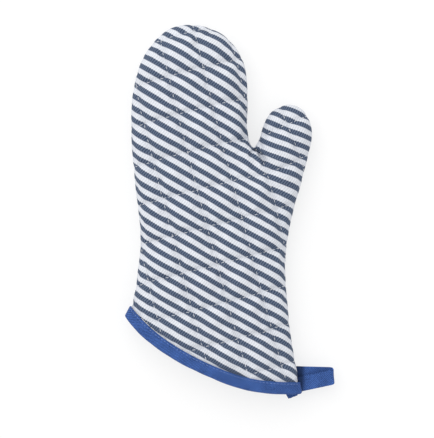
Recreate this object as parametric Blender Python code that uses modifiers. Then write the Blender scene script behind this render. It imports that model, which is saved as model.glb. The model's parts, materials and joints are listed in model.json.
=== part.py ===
"""A quilted oven mitt, lying on its back on a table, palm side up.

Units are metres. +Z is up, +Y runs from the cuff to the fingertips and +X points to the thumb side.
The origin lies on the table, under the middle of the palm.

The mitt is two quilted halves, front and back. Each half is a stack of three layers (outer cover, wadding
and lining), and the halves meet at the side seam, halfway up the edge. Every surface of the stack is the
same inflated outline, sunk to that surface's depth. A layer is what lies between two of those surfaces,
cut to its half of the mitt and to the body that it moves with. The mitt folds forward across the
knuckles and along the base of the thumb, so each front layer has a wedge left out at both folds, and a
soft fold piece of its own fills that wedge.
"""

import math

import bmesh
import bpy
import numpy as np
from mathutils.geometry import delaunay_2d_cdt

# The side seam, from the little finger's end of the cuff, round the fingertips, to the crotch of the thumb.
HAND_SEAM = [
    (-0.0815, -0.0880),
    (-0.0762, -0.0745),
    (-0.0717, -0.0500),
    (-0.0695, -0.0150),
    (-0.0750, 0.0450),
    (-0.0773, 0.0900),
    (-0.0715, 0.1330),
    (-0.0510, 0.1650),
    (-0.0225, 0.1745),
    (0.0050, 0.1655),
    (0.0228, 0.1440),
    (0.0278, 0.1130),
    (0.0277, 0.0840),
    (0.0300, 0.0700),
    (0.0332, 0.0642),
]
# It goes on from the crotch, round the thumb, to the thumb's end of the cuff.
THUMB_SEAM = [
    (0.0332, 0.0642),
    (0.0372, 0.0725),
    (0.0440, 0.0895),
    (0.0520, 0.0985),
    (0.0650, 0.1027),
    (0.0795, 0.0950),
    (0.0852, 0.0740),
    (0.0772, 0.0370),
    (0.0658, -0.0060),
    (0.0620, -0.0460),
    (0.0662, -0.1030),
    (0.0735, -0.1430),
    (0.0752, -0.1570),
]
# The open edge of the cuff, from the little finger's side to the thumb's side.
CUFF_EDGE = [
    (-0.0826, -0.0880),
    (-0.0688, -0.1024),
    (-0.0460, -0.1196),
    (-0.0137, -0.1372),
    (0.0200, -0.1500),
    (0.0480, -0.1550),
    (0.0760, -0.1568),
]

SEAM_HEIGHT = 0.016  # the side seam above the table
FRONT_RISE = 0.022  # how far the front swells above the seam
FRONT_ROUND = 0.062  # how far in from the seam the front keeps rising
BACK_ROUND = 0.024  # how far in from the seam the back reaches the table

COVER = 0.0008
WADDING = 0.0032
LINING = 0.0005
TAPE = 0.0008
CLEARANCE = 0.0003
HALF_CLEARANCE = CLEARANCE / 2

BINDING_WIDTH = 0.011
CUFF_LIFT = (0.022, 0.045)  # where the back starts and ends its rise onto the binding, from the cuff's edge
SEAM_ALLOWANCE = 0.0050
SEAM_THICKNESS = 0.0006

LOOP_WIDTH = 0.0130
LOOP_START = 0.0020  # from the line that it swings about to the near end of its legs
LOOP_LENGTH = 0.0268
LOOP_RADIUS = 0.0050
LOOP_LEG_GAP = 0.0007  # between the two legs where they are sewn in
LOOP_SPREAD = 0.0052  # how far each leg leans from the middle where it is sewn in
LOOP_TAPE = 0.0014
LOOP_ROOT = (0.0772, -0.1440)
TAB_CORNERS = ((0.0618, -0.1573), (0.0738, -0.1577), (0.0722, -0.1594), (0.0642, -0.1622))

KNUCKLE_Y = 0.092
KNUCKLE_FOLD = math.radians(60)
THUMB_FOLD = math.radians(45)
THUMB_AXIS_END = (0.0621, -0.0440)  # where the thumb's fold line would leave the mitt at the wrist
THUMB_AXIS_SHARE = 0.65  # the share of that line along which the thumb's body is parted

SEAM_STEP = 0.015
INNER_STEP = 0.027
RINGS = (0.0010, 0.0042, 0.0110)  # rows of points that round off the edge
RING_CLEAR = 0.72  # the share of a row's own inset that its points keep from the opposite seam
LATTICE_CLEAR = 1.05  # the share of the last row's inset that the lattice keeps from the seam
RUN_PAST_CUFF = 0.013
CUFF_STEP = 0.012
CUFF_RUN_OUT = 0.014  # how far the cuff's lines run on past both side seams
CURVE_SAMPLES = 24  # between two points of a curve
FIELD_STEP = 0.0004  # the seam's short pieces that the depth is summed over
FIELD_RUN_OUT = 0.030
CUFF_SAMPLE_STEP = 0.002
BINDING_REACH_Y = -0.04  # only below this line can a surface stand proud of the cover, as the binding does
FINGER_BASE_Y = 0.10
CROTCH_SIDE = ((0.0, 0.045), (0.02, 0.10))  # the x and y ranges that hold the index side's seam
WRIST_SIDE = (0.045, 0.05)  # the lowest x and highest y of the wrist's seam
BEND_STEP = 18  # degrees between the points of the loop's far bend
LEG_POINTS = 7
FAR = 0.30
TOP = 0.060
BOTTOM = -0.010

COLOURS = {
    "cover": (0.30, 0.33, 0.42),
    "wadding": (0.86, 0.85, 0.80),
    "lining": (0.82, 0.81, 0.77),
    "seam": (0.70, 0.71, 0.74),
    "tape": (0.05, 0.12, 0.36),
}
ROUGHNESS = 0.9


def clear_scene():
    """Removes whatever the scene holds."""
    for obj in list(bpy.data.objects):
        bpy.data.objects.remove(obj)


def collection(name):
    """A new collection in the scene."""
    made = bpy.data.collections.new(name)
    bpy.context.scene.collection.children.link(made)
    return made


def material(name):
    """A matt cloth in that layer's colour."""
    made = bpy.data.materials.new(name)
    made.use_nodes = True
    shader = made.node_tree.nodes["Principled BSDF"]
    shader.inputs["Base Color"].default_value = (*COLOURS[name], 1.0)
    shader.inputs["Roughness"].default_value = ROUGHNESS
    shader.inputs["Metallic"].default_value = 0.0
    return made


def resampled(line, step):
    """Points spaced evenly, about step apart, along a line of points."""
    lengths = np.linalg.norm(np.diff(line, axis=0), axis=1)
    along = np.concatenate([[0.0], np.cumsum(lengths)])
    stations = np.linspace(0.0, along[-1], max(2, round(along[-1] / step) + 1))
    return np.stack([np.interp(stations, along, line[:, k]) for k in range(2)], axis=1)


def smooth_line(points, step):
    """A Catmull-Rom curve through the points, sampled about step apart."""
    knots = np.array(points, float)
    ends = [2 * knots[0] - knots[1], *knots, 2 * knots[-1] - knots[-2]]
    share = np.linspace(0.0, 1.0, CURVE_SAMPLES, endpoint=False)[:, None]
    fine = []
    for a, b, c, d in zip(ends, ends[1:], ends[2:], ends[3:]):
        bend = 2 * a - 5 * b + 4 * c - d
        twist = 3 * (b - c) + d - a
        fine.append(0.5 * (2 * b + (c - a) * share + bend * share**2 + twist * share**3))
    return resampled(np.concatenate([*fine, knots[-1:]]), step)


def left_of(line):
    """The unit normals on the left of a line of points."""
    along = np.gradient(line, axis=0)
    along /= np.linalg.norm(along, axis=1, keepdims=True)
    return np.stack([-along[:, 1], along[:, 0]], axis=1)


def extended(line, length):
    """The line with a straight run of that length added at both ends."""
    first = line[0] + (line[0] - line[1]) / np.linalg.norm(line[0] - line[1]) * length
    last = line[-1] + (line[-1] - line[-2]) / np.linalg.norm(line[-1] - line[-2]) * length
    return np.concatenate([[first], line, [last]])


def cuff_line(inset):
    """The cuff's open edge moved up into the mitt by inset, run on past both side seams."""
    line = smooth_line(CUFF_EDGE, CUFF_STEP)
    return extended(line + left_of(line) * inset, CUFF_RUN_OUT)


class Outline:
    """The mitt's flat outline: the side seam, run on past the cuff, and its smooth depth field."""

    def __init__(self):
        hand = smooth_line(HAND_SEAM, SEAM_STEP)
        thumb = smooth_line(THUMB_SEAM, SEAM_STEP)
        whole = extended(np.concatenate([hand[:-1], thumb]), RUN_PAST_CUFF)
        self.seam = whole
        self.inward = -left_of(whole)
        dense = resampled(extended(whole, FIELD_RUN_OUT), FIELD_STEP)
        self.middles = (dense[1:] + dense[:-1]) / 2
        self.pieces = np.linalg.norm(np.diff(dense, axis=0), axis=1)

    def depth(self, places):
        """(depth, gradient) at each place: the distance from the seam, rounded off halfway across."""
        away = places[:, None, :] - self.middles[None, :, :]
        square = (away**2).sum(axis=2)
        weight = self.pieces / square**2
        total = weight.sum(axis=1) / (math.pi / 2)
        found = total ** (-1 / 3)
        pull = (away * (weight / square)[:, :, None]).sum(axis=1) / (math.pi / 2)
        slope = (4 / 3) * (total ** (-4 / 3))[:, None] * pull
        return found, slope

    def inside(self, places):
        """Whether each place lies inside the seam, closed across the cuff."""
        a = self.seam
        b = np.roll(self.seam, -1, axis=0)
        within = np.zeros(len(places), bool)
        for (x0, y0), (x1, y1) in zip(a, b):
            crosses = (y0 > places[:, 1]) != (y1 > places[:, 1])
            where = x0 + (places[:, 1] - y0) * (x1 - x0) / (y1 - y0 if y1 != y0 else 1e-12)
            within ^= crosses & (places[:, 0] < where)
        return within


class Panel:
    """The flat net of points and triangles that every surface of the mitt is inflated from."""

    def __init__(self, outline):
        rim = outline.seam
        mouth = resampled(rim[[-1, 0]], INNER_STEP)[1:-1]
        rows = []
        for inset in RINGS:
            ring = rim[2:-2] + outline.inward[2:-2] * inset
            clear = outline.inside(ring) & (outline.depth(ring)[0] > RING_CLEAR * inset)
            rows.append(ring[clear])
        low, high = rim.min(axis=0), rim.max(axis=0)
        across = np.arange(low[0], high[0], INNER_STEP)
        up = np.arange(low[1], high[1], INNER_STEP * math.sqrt(0.75))
        lattice = np.array([(x + INNER_STEP / 2 * (k % 2), y) for k, y in enumerate(up) for x in across])
        lattice = lattice[outline.inside(lattice)]
        lattice = lattice[outline.depth(lattice)[0] > RINGS[-1] * LATTICE_CLEAR]
        places = np.concatenate([rim, mouth, *rows, lattice])
        loop = list(range(len(rim) + len(mouth)))
        net = delaunay_2d_cdt([tuple(p) for p in places], [], [loop], 1, 1e-6)
        self.places = np.array([tuple(v) for v in net[0]])
        self.faces = [tuple(face) for face in net[2]]
        self.on_seam = np.array([min(ids, default=FAR) < len(rim) for ids in net[3]])
        self.depths, self.slopes = outline.depth(self.places)
        cuff = resampled(cuff_line(0.0), CUFF_SAMPLE_STEP)
        from_cuff = np.linalg.norm(self.places[:, None, :] - cuff[None, :, :], axis=2).min(axis=1)
        share = np.clip((CUFF_LIFT[1] - from_cuff) / (CUFF_LIFT[1] - CUFF_LIFT[0]), 0.0, 1.0)
        self.lift = share * (TAPE + CLEARANCE)
        for k, ids in enumerate(net[3]):
            if self.on_seam[k]:
                self.depths[k] = 0.0
                self.slopes[k] = outline.inward[min(ids)]


def quarter_round(depth, height, reach):
    """(height gained, steepness) at a depth, for an edge that rounds over within reach."""
    left = np.clip(1 - depth / reach, 0.0, 1.0)
    share = np.sqrt(np.clip(1 - left**2, 1e-12, 1.0))
    return height * share, height / reach * left / share


def inflated(panel, sunk):
    """(front points, back points) of the mitt's outer surface, sunk inwards by that depth."""
    sides = []
    near_cuff = panel.places[:, 1] < BINDING_REACH_Y
    moved = np.where(near_cuff, sunk, max(sunk, 0.0))[:, None]
    sides_of_seam = ((1.0, FRONT_RISE, FRONT_ROUND), (-1.0, SEAM_HEIGHT - panel.lift, BACK_ROUND))
    for upward, height, reach in sides_of_seam:
        gain, steep = quarter_round(panel.depths, height, reach)
        normal = np.column_stack([-panel.slopes * steep[:, None], np.full(len(gain), upward)])
        normal /= np.linalg.norm(normal, axis=1, keepdims=True)
        level = SEAM_HEIGHT + upward * gain
        flat = np.column_stack([-panel.slopes, np.zeros(len(gain))])
        normal = np.where(panel.on_seam[:, None], flat, normal)
        level = np.where(panel.on_seam, SEAM_HEIGHT, level)
        sides.append(np.column_stack([panel.places, level]) - moved * normal)
    return sides


def bag(name, panel, outer, inner, guides):
    """A guide like a thick bag, open at the cuff, whose wall lies between those two depths."""
    mesh = bmesh.new()
    for sunk, turned in ((outer, 1), (inner, -1)):
        points = inflated(panel, sunk)
        front = [mesh.verts.new(p) for p in points[0]]
        back = [front[k] if panel.on_seam[k] else mesh.verts.new(p) for k, p in enumerate(points[1])]
        for face in panel.faces:
            mesh.faces.new([front[k] for k in face][::turned])
            mesh.faces.new([back[k] for k in face][::-turned])
    bmesh.ops.bridge_loops(mesh, edges=[edge for edge in mesh.edges if edge.is_boundary])
    bmesh.ops.triangulate(mesh, faces=[face for face in mesh.faces if len(face.verts) > 3])
    bmesh.ops.recalc_face_normals(mesh, faces=mesh.faces)
    return hidden(object_from(mesh, name, guides))


def object_from(mesh, name, where):
    """A new object made from the mesh, which is used up."""
    data = bpy.data.meshes.new(name)
    mesh.to_mesh(data)
    mesh.free()
    made = bpy.data.objects.new(name, data)
    where.objects.link(made)
    return made


def hidden(guide):
    """The guide, left out of the model."""
    guide.hide_render = True
    guide.display_type = "WIRE"
    return guide


def prism(name, low, high, bottom, top, guides):
    """A guide block from the outline low at the bottom to the outline high at the top."""
    mesh = bmesh.new()
    lower = [mesh.verts.new((x, y, bottom)) for x, y in low]
    upper = [mesh.verts.new((x, y, top)) for x, y in high]
    mesh.faces.new(lower[::-1])
    mesh.faces.new(upper)
    for k in range(len(lower)):
        after = (k + 1) % len(lower)
        mesh.faces.new((lower[k], lower[after], upper[after], upper[k]))
    bmesh.ops.recalc_face_normals(mesh, faces=mesh.faces)
    return hidden(object_from(mesh, name, guides))


class Folds:
    """The fold lines, and the outline at any height of each body that they part the mitt into."""

    def __init__(self):
        self.crotch = np.array(HAND_SEAM[-1])
        end = np.array(THUMB_AXIS_END)
        self.along = (end - self.crotch) / np.linalg.norm(end - self.crotch)
        self.out = np.array([-self.along[1], self.along[0]])
        self.end = self.crotch + (end - self.crotch) * THUMB_AXIS_SHARE

    def room(self, level, fold):
        """How far each side of a fold stands back from it at that height, so that it can close."""
        return CLEARANCE + max(0.0, level - SEAM_HEIGHT) * math.tan(fold / 2)

    def palm(self, level):
        knuckle = KNUCKLE_Y - self.room(level, KNUCKLE_FOLD)
        back_off = self.out * self.room(level, THUMB_FOLD)
        lower = self.end + self.along * CLEARANCE
        cuff = cuff_line(TAPE + 2 * CLEARANCE)
        between = self.crotch[0] - HALF_CLEARANCE
        return [
            (-FAR, knuckle),
            (-FAR, cuff[0][1]),
            *cuff,
            (FAR, cuff[-1][1]),
            tuple(lower + self.out * FAR),
            tuple(lower - back_off),
            tuple(self.crotch - back_off),
            (between, self.crotch[1]),
            (between, knuckle),
        ]

    def fingers(self, level):
        knuckle = KNUCKLE_Y + self.room(level, KNUCKLE_FOLD)
        right = self.crotch[0] - HALF_CLEARANCE
        return [(-FAR, knuckle), (right, knuckle), (right, FAR), (-FAR, FAR)]

    def thumb(self, level):
        forward = self.out * self.room(level, THUMB_FOLD)
        left = self.crotch[0] + HALF_CLEARANCE
        return [
            tuple(self.crotch + forward),
            tuple(self.end + forward),
            tuple(self.end + self.out * FAR),
            (FAR, FAR),
            (left, FAR),
            (left, self.crotch[1] + CLEARANCE),
        ]

    def knuckle_fold(self, level):
        half = self.room(level, KNUCKLE_FOLD) - CLEARANCE
        right = self.crotch[0] - HALF_CLEARANCE
        low, high = KNUCKLE_Y - half, KNUCKLE_Y + half
        return [(-FAR, low), (right, low), (right, high), (-FAR, high)]

    def thumb_fold(self, level):
        half = self.out * (self.room(level, THUMB_FOLD) - CLEARANCE)
        top = self.crotch + self.along * CLEARANCE
        return [tuple(top - half), tuple(self.end - half), tuple(self.end + half), tuple(top + half)]


def cut(node, guide, operation):
    """Cuts the node with a guide."""
    made = node.modifiers.new(operation.lower(), "BOOLEAN")
    made.operation = operation
    made.solver = "EXACT"
    made.object = guide


def carved(name, layer, region, finish, where):
    """The part of a layer of the mitt that lies in a region."""
    node = bpy.data.objects.new(name, layer.data.copy())
    where.objects.link(node)
    cut(node, region, "INTERSECT")
    node.data.materials.append(finish)
    return node


def half_regions(folds, guides):
    """{(half, body): guide} for the parts of the front and of the back."""
    front = SEAM_HEIGHT + SEAM_THICKNESS / 2 + CLEARANCE
    back = SEAM_HEIGHT - SEAM_THICKNESS / 2 - CLEARANCE
    regions = {}
    for body in ("palm", "fingers", "thumb", "knuckle_fold", "thumb_fold"):
        shape = getattr(folds, body)
        regions["front", body] = prism(f"front_{body}_region", shape(front), shape(TOP), front, TOP, guides)
    for body in ("palm", "fingers", "thumb"):
        shape = getattr(folds, body)
        regions["back", body] = prism(f"back_{body}_region", shape(BOTTOM), shape(back), BOTTOM, back, guides)
    return regions


def quilted_layers(panel, folds, finishes, where, guides):
    """Every layer of the front and the back, one node for each body that it is parted into."""
    regions = half_regions(folds, guides)
    depth = 0.0
    for layer, thickness in (("cover", COVER), ("wadding", WADDING), ("lining", LINING)):
        whole = bag(f"whole_{layer}", panel, depth, depth + thickness, guides)
        for (half, body), region in regions.items():
            carved(f"{half}_{layer}_{body}", whole, region, finishes[layer], where)
        depth += thickness + CLEARANCE
    return depth


def seam_allowances(outline, folds, finish, where, guides):
    """The flat band of sewn edges between the two halves, one node for each run of it."""
    rim = outline.seam + outline.inward * CLEARANCE
    inner = outline.seam + outline.inward * SEAM_ALLOWANCE
    bottom = SEAM_HEIGHT - SEAM_THICKNESS
    top = SEAM_HEIGHT + SEAM_THICKNESS
    left_of_thumb = [(-FAR, -FAR), (0.0, -FAR), (0.0, FINGER_BASE_Y), (-FAR, FINGER_BASE_Y)]
    (left, right), (low, high) = CROTCH_SIDE
    crotch_side = [(left, low), (right, low), (right, high), (left, high)]
    wrist_left, wrist_top = WRIST_SIDE
    wrist_side = [(wrist_left, -FAR), (FAR, -FAR), (FAR, wrist_top), (wrist_left, wrist_top)]
    runs = {
        "seam_little_finger_side": ("palm", left_of_thumb),
        "seam_fingertips": ("fingers", None),
        "seam_thumb": ("thumb", None),
        "seam_wrist": ("palm", wrist_side),
        "seam_index_side": ("palm", crotch_side),
    }
    for name, (body, window) in runs.items():
        mesh = bmesh.new()
        outside = [mesh.verts.new((x, y, SEAM_HEIGHT)) for x, y in rim]
        inside = [mesh.verts.new((x, y, SEAM_HEIGHT)) for x, y in inner]
        for k in range(len(rim) - 1):
            mesh.faces.new((outside[k], outside[k + 1], inside[k + 1], inside[k]))
        bmesh.ops.recalc_face_normals(mesh, faces=mesh.faces)
        node = object_from(mesh, name, where)
        thicken(node, SEAM_THICKNESS)
        shape = getattr(folds, body)
        cut(node, prism(f"{name}_region", shape(bottom), shape(bottom), bottom, top, guides), "INTERSECT")
        if window:
            cut(node, prism(f"{name}_window", window, window, bottom, top, guides), "INTERSECT")
        node.data.materials.append(finish)


def thicken(node, thickness):
    """Gives an open surface that thickness, half on each side."""
    made = node.modifiers.new("thickness", "SOLIDIFY")
    made.thickness = thickness
    made.offset = 0.0
    made.use_even_offset = True


def cuff_binding(panel, stack, finish, where, guides):
    """The tape folded over the open edge of all the layers, right round the cuff."""
    folded = bag("folded_tape", panel, -CLEARANCE - TAPE, stack + TAPE, guides)
    edge, far_edge = cuff_line(0.0), cuff_line(BINDING_WIDTH)[::-1]
    band = [*edge, *far_edge]
    band_guide = prism("binding_band", band, band, BOTTOM, TOP, guides)
    node = carved("cuff_binding", folded, band_guide, finish, where)
    slot = bag("binding_slot", panel, -CLEARANCE, stack, guides)
    turn, beyond = cuff_line(TAPE), cuff_line(BINDING_WIDTH * 1.5)[::-1]
    depth = [*turn, *beyond]
    cut(slot, prism("slot_band", depth, depth, BOTTOM, TOP, guides), "INTERSECT")
    cut(node, slot, "DIFFERENCE")
    return node


def hanging_loop(finish, where):
    """A loop of tape sewn in at the thumb's end of the cuff, lying out sideways with its legs fanned."""
    start = (LOOP_TAPE + LOOP_LEG_GAP) / 2
    straight = LOOP_LENGTH - LOOP_RADIUS
    leg = []
    for share in np.linspace(0.0, 1.0, LEG_POINTS)[:-1]:
        out = LOOP_START + (straight - LOOP_START) * share
        leg.append((out, start + (LOOP_RADIUS - start) * share**2 * (3 - 2 * share)))
    swings = [math.radians(angle) for angle in range(90, -91, -BEND_STEP)]
    bend = [(straight + LOOP_RADIUS * math.cos(a), LOOP_RADIUS * math.sin(a)) for a in swings]
    under = [(out, -lift) for out, lift in reversed(leg)]
    mesh = bmesh.new()
    rows = []
    for out, lift in [*leg, *bend, *under]:
        lean = -LOOP_SPREAD * (1 - out / LOOP_LENGTH) * max(-1.0, min(1.0, lift / start))
        middle = LOOP_ROOT[1] + lean
        edges = (middle - LOOP_WIDTH / 2, middle + LOOP_WIDTH / 2)
        rows.append([mesh.verts.new((LOOP_ROOT[0] + out, y, SEAM_HEIGHT + lift)) for y in edges])
    for before, after in zip(rows, rows[1:]):
        mesh.faces.new((before[0], before[1], after[1], after[0]))
    node = object_from(mesh, "hanging_loop", where)
    thicken(node, LOOP_TAPE)
    node.data.materials.append(finish)


def loop_tab(finish, where):
    """The raw end of the loop's tape, poking out below the corner of the cuff."""
    mesh = bmesh.new()
    mesh.faces.new([mesh.verts.new((x, y, SEAM_HEIGHT)) for x, y in TAB_CORNERS])
    node = object_from(mesh, "loop_tab", where)
    thicken(node, LOOP_TAPE)
    node.data.materials.append(finish)


def main():
    """Builds the whole mitt."""
    clear_scene()
    mitt = collection("oven_mitt")
    guides = collection("guides")
    finishes = {name: material(name) for name in COLOURS}
    outline = Outline()
    panel = Panel(outline)
    folds = Folds()
    stack = quilted_layers(panel, folds, finishes, mitt, guides)
    seam_allowances(outline, folds, finishes["seam"], mitt, guides)
    cuff_binding(panel, stack, finishes["tape"], mitt, guides)
    hanging_loop(finishes["tape"], mitt)
    loop_tab(finishes["tape"], mitt)


main()
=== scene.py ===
"""The looks of a quilted oven mitt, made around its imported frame.

The two halves of the mitt are cut, padded, quilted and sewn in the order that a maker would: the pattern
is laid out flat, inflated over the hand, quilted in squares, and relaxed by a cloth simulation. Then the
cuff is bound, and the hanging loop is sewn in. Everything is in metres, in the frame's own axes: +Z up, +Y
from the cuff to the fingertips and +X to the thumb side.
"""

import json
import logging
import math
from dataclasses import dataclass, field
from enum import Enum

import bmesh
import bpy
import numpy as np
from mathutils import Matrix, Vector
from mathutils.bvhtree import BVHTree
from mathutils.geometry import barycentric_transform, delaunay_2d_cdt

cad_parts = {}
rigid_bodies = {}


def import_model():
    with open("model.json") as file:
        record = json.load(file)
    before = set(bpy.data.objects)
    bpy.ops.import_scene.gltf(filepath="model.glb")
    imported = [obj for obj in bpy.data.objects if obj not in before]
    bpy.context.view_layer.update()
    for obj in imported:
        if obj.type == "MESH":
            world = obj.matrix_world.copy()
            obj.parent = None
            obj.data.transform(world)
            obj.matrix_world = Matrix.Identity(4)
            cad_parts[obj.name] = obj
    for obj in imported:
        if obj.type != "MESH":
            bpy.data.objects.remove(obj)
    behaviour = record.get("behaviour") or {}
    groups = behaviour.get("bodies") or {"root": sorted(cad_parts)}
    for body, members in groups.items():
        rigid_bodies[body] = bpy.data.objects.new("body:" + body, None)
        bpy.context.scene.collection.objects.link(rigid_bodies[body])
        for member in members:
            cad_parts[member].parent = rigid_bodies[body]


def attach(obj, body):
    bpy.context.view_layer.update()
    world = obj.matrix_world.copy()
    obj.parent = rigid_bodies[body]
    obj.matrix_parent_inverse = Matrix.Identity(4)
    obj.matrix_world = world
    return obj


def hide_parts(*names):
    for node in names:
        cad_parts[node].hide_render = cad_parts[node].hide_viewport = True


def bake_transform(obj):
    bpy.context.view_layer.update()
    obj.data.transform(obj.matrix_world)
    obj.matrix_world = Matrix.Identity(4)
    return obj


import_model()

LOG = logging.getLogger("oven_mitt")

PART = 1000
CURVE_SAMPLES = 40
FIELD_WAVES = 9
FOLD_MARGIN = 0.001
NEAR_CUT = 0.0004
ON_SURFACE = 0.0001
ON_CLOTH = 0.00005
RUN_STEP = 0.0009
RUN_POINTS = 6
CORNER_ANGLE = math.radians(50)

SETTLING = {
    "quality": 6, "mass": 0.15, "tension_stiffness": 25, "compression_stiffness": 12, "shear_stiffness": 6,
    "bending_stiffness": 0.08, "vertex_group_mass": "held", "pin_stiffness": 1.0, "shrink_min": -0.035,
    "use_pressure": True, "uniform_pressure_force": 1.4,
}

Points = np.ndarray
Piece = bpy.types.Object
Socket = bpy.types.NodeSocket
Material = bpy.types.Material


class Half(Enum):
    """The two quilted halves of the mitt."""

    FRONT = 1.0
    BACK = -1.0

    @property
    def word(self) -> str:
        """The half's name as the frame's nodes have it."""
        return self.name.lower()


class Panel(Enum):
    """The two panels that a half is parted into at the thumb's fold, so that each bends at one joint."""

    HAND = "hand"
    THUMB = "thumb"


# ---- Flat curves ---------------------------------------------------------------------------------


def resampled(line: Points, step: float) -> Points:
    """Spaces points evenly along a line.

    Args:
        line: the line's points, one per row.
        step: about how far apart the new points are.

    Returns:
        The new points, with the line's own two ends.
    """
    along = distances(line)
    stations = np.linspace(0.0, along[-1], max(2, round(along[-1] / step) + 1))
    return read_at(stations, along, line)


def smooth_line(points: tuple, step: float) -> Points:
    """Draws a Catmull-Rom curve.

    Args:
        points: the points that it goes through.
        step: about how far apart its samples are.

    Returns:
        The samples.
    """
    knots = np.array(points, float)
    ends = [2 * knots[0] - knots[1], *knots, 2 * knots[-1] - knots[-2]]
    share = np.linspace(0.0, 1.0, CURVE_SAMPLES, endpoint=False)[:, None]
    fine = []
    for a, b, c, d in zip(ends, ends[1:], ends[2:], ends[3:]):
        bend = 2 * a - 5 * b + 4 * c - d
        twist = 3 * (b - c) + d - a
        fine.append(0.5 * (2 * b + (c - a) * share + bend * share**2 + twist * share**3))
    return resampled(np.concatenate([*fine, knots[-1:]]), step)


def distances(line: Points) -> Points:
    """How far along the line each of its points lies."""
    return np.concatenate([[0.0], np.cumsum(np.linalg.norm(np.diff(line, axis=0), axis=1))])


def read_at(stations: Points, along: Points, line: Points) -> Points:
    """The line's points at those stations, where along says how far along its own points lie."""
    return np.stack([np.interp(stations, along, line[:, k]) for k in range(line.shape[1])], axis=1)


def nearest(places: Points, line: Points) -> Points:
    """The distance from each place to the nearest of the line's points, worked out part by part."""
    return np.concatenate([
        np.linalg.norm(part[:, None, :] - line[None, :, :], axis=2).min(axis=1)
        for part in np.array_split(places, 1 + len(places) // PART)
    ])


def left_of(line: Points) -> Points:
    """The unit normals on the left of a flat line."""
    along = np.gradient(line, axis=0)
    along /= np.linalg.norm(along, axis=1, keepdims=True)
    return np.stack([-along[:, 1], along[:, 0]], axis=1)


def extended(line: Points, length: float) -> Points:
    """The line with a straight run of that length added at both ends."""
    first = line[0] + (line[0] - line[1]) / np.linalg.norm(line[0] - line[1]) * length
    last = line[-1] + (line[-1] - line[-2]) / np.linalg.norm(line[-1] - line[-2]) * length
    return np.concatenate([[first], line, [last]])


def smoothstep(low: float, high: float, value: Points) -> Points:
    """A smooth rise from 0 at low to 1 at high."""
    share = np.clip((value - low) / (high - low), 0.0, 1.0)
    return share * share * (3 - 2 * share)


def wander(places: Points, scale: float, seed: int) -> Points:
    """A smooth random field between about -1 and 1.

    Args:
        places: where to read it, one place per row.
        scale: about how far apart its hills are.
        seed: which field.

    Returns:
        One value for each place.
    """
    draws = np.random.default_rng(seed)
    total = np.zeros(len(places))
    for _ in range(FIELD_WAVES):
        turn = draws.uniform(0, 2 * math.pi)
        pace = 2 * math.pi / (scale * draws.uniform(0.8, 2.2))
        start = draws.uniform(0, 2 * math.pi)
        total += np.sin(pace * (places[:, 0] * math.cos(turn) + places[:, 1] * math.sin(turn)) + start)
    return total / (FIELD_WAVES / 2)


# ---- The pattern ---------------------------------------------------------------------------------


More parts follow.
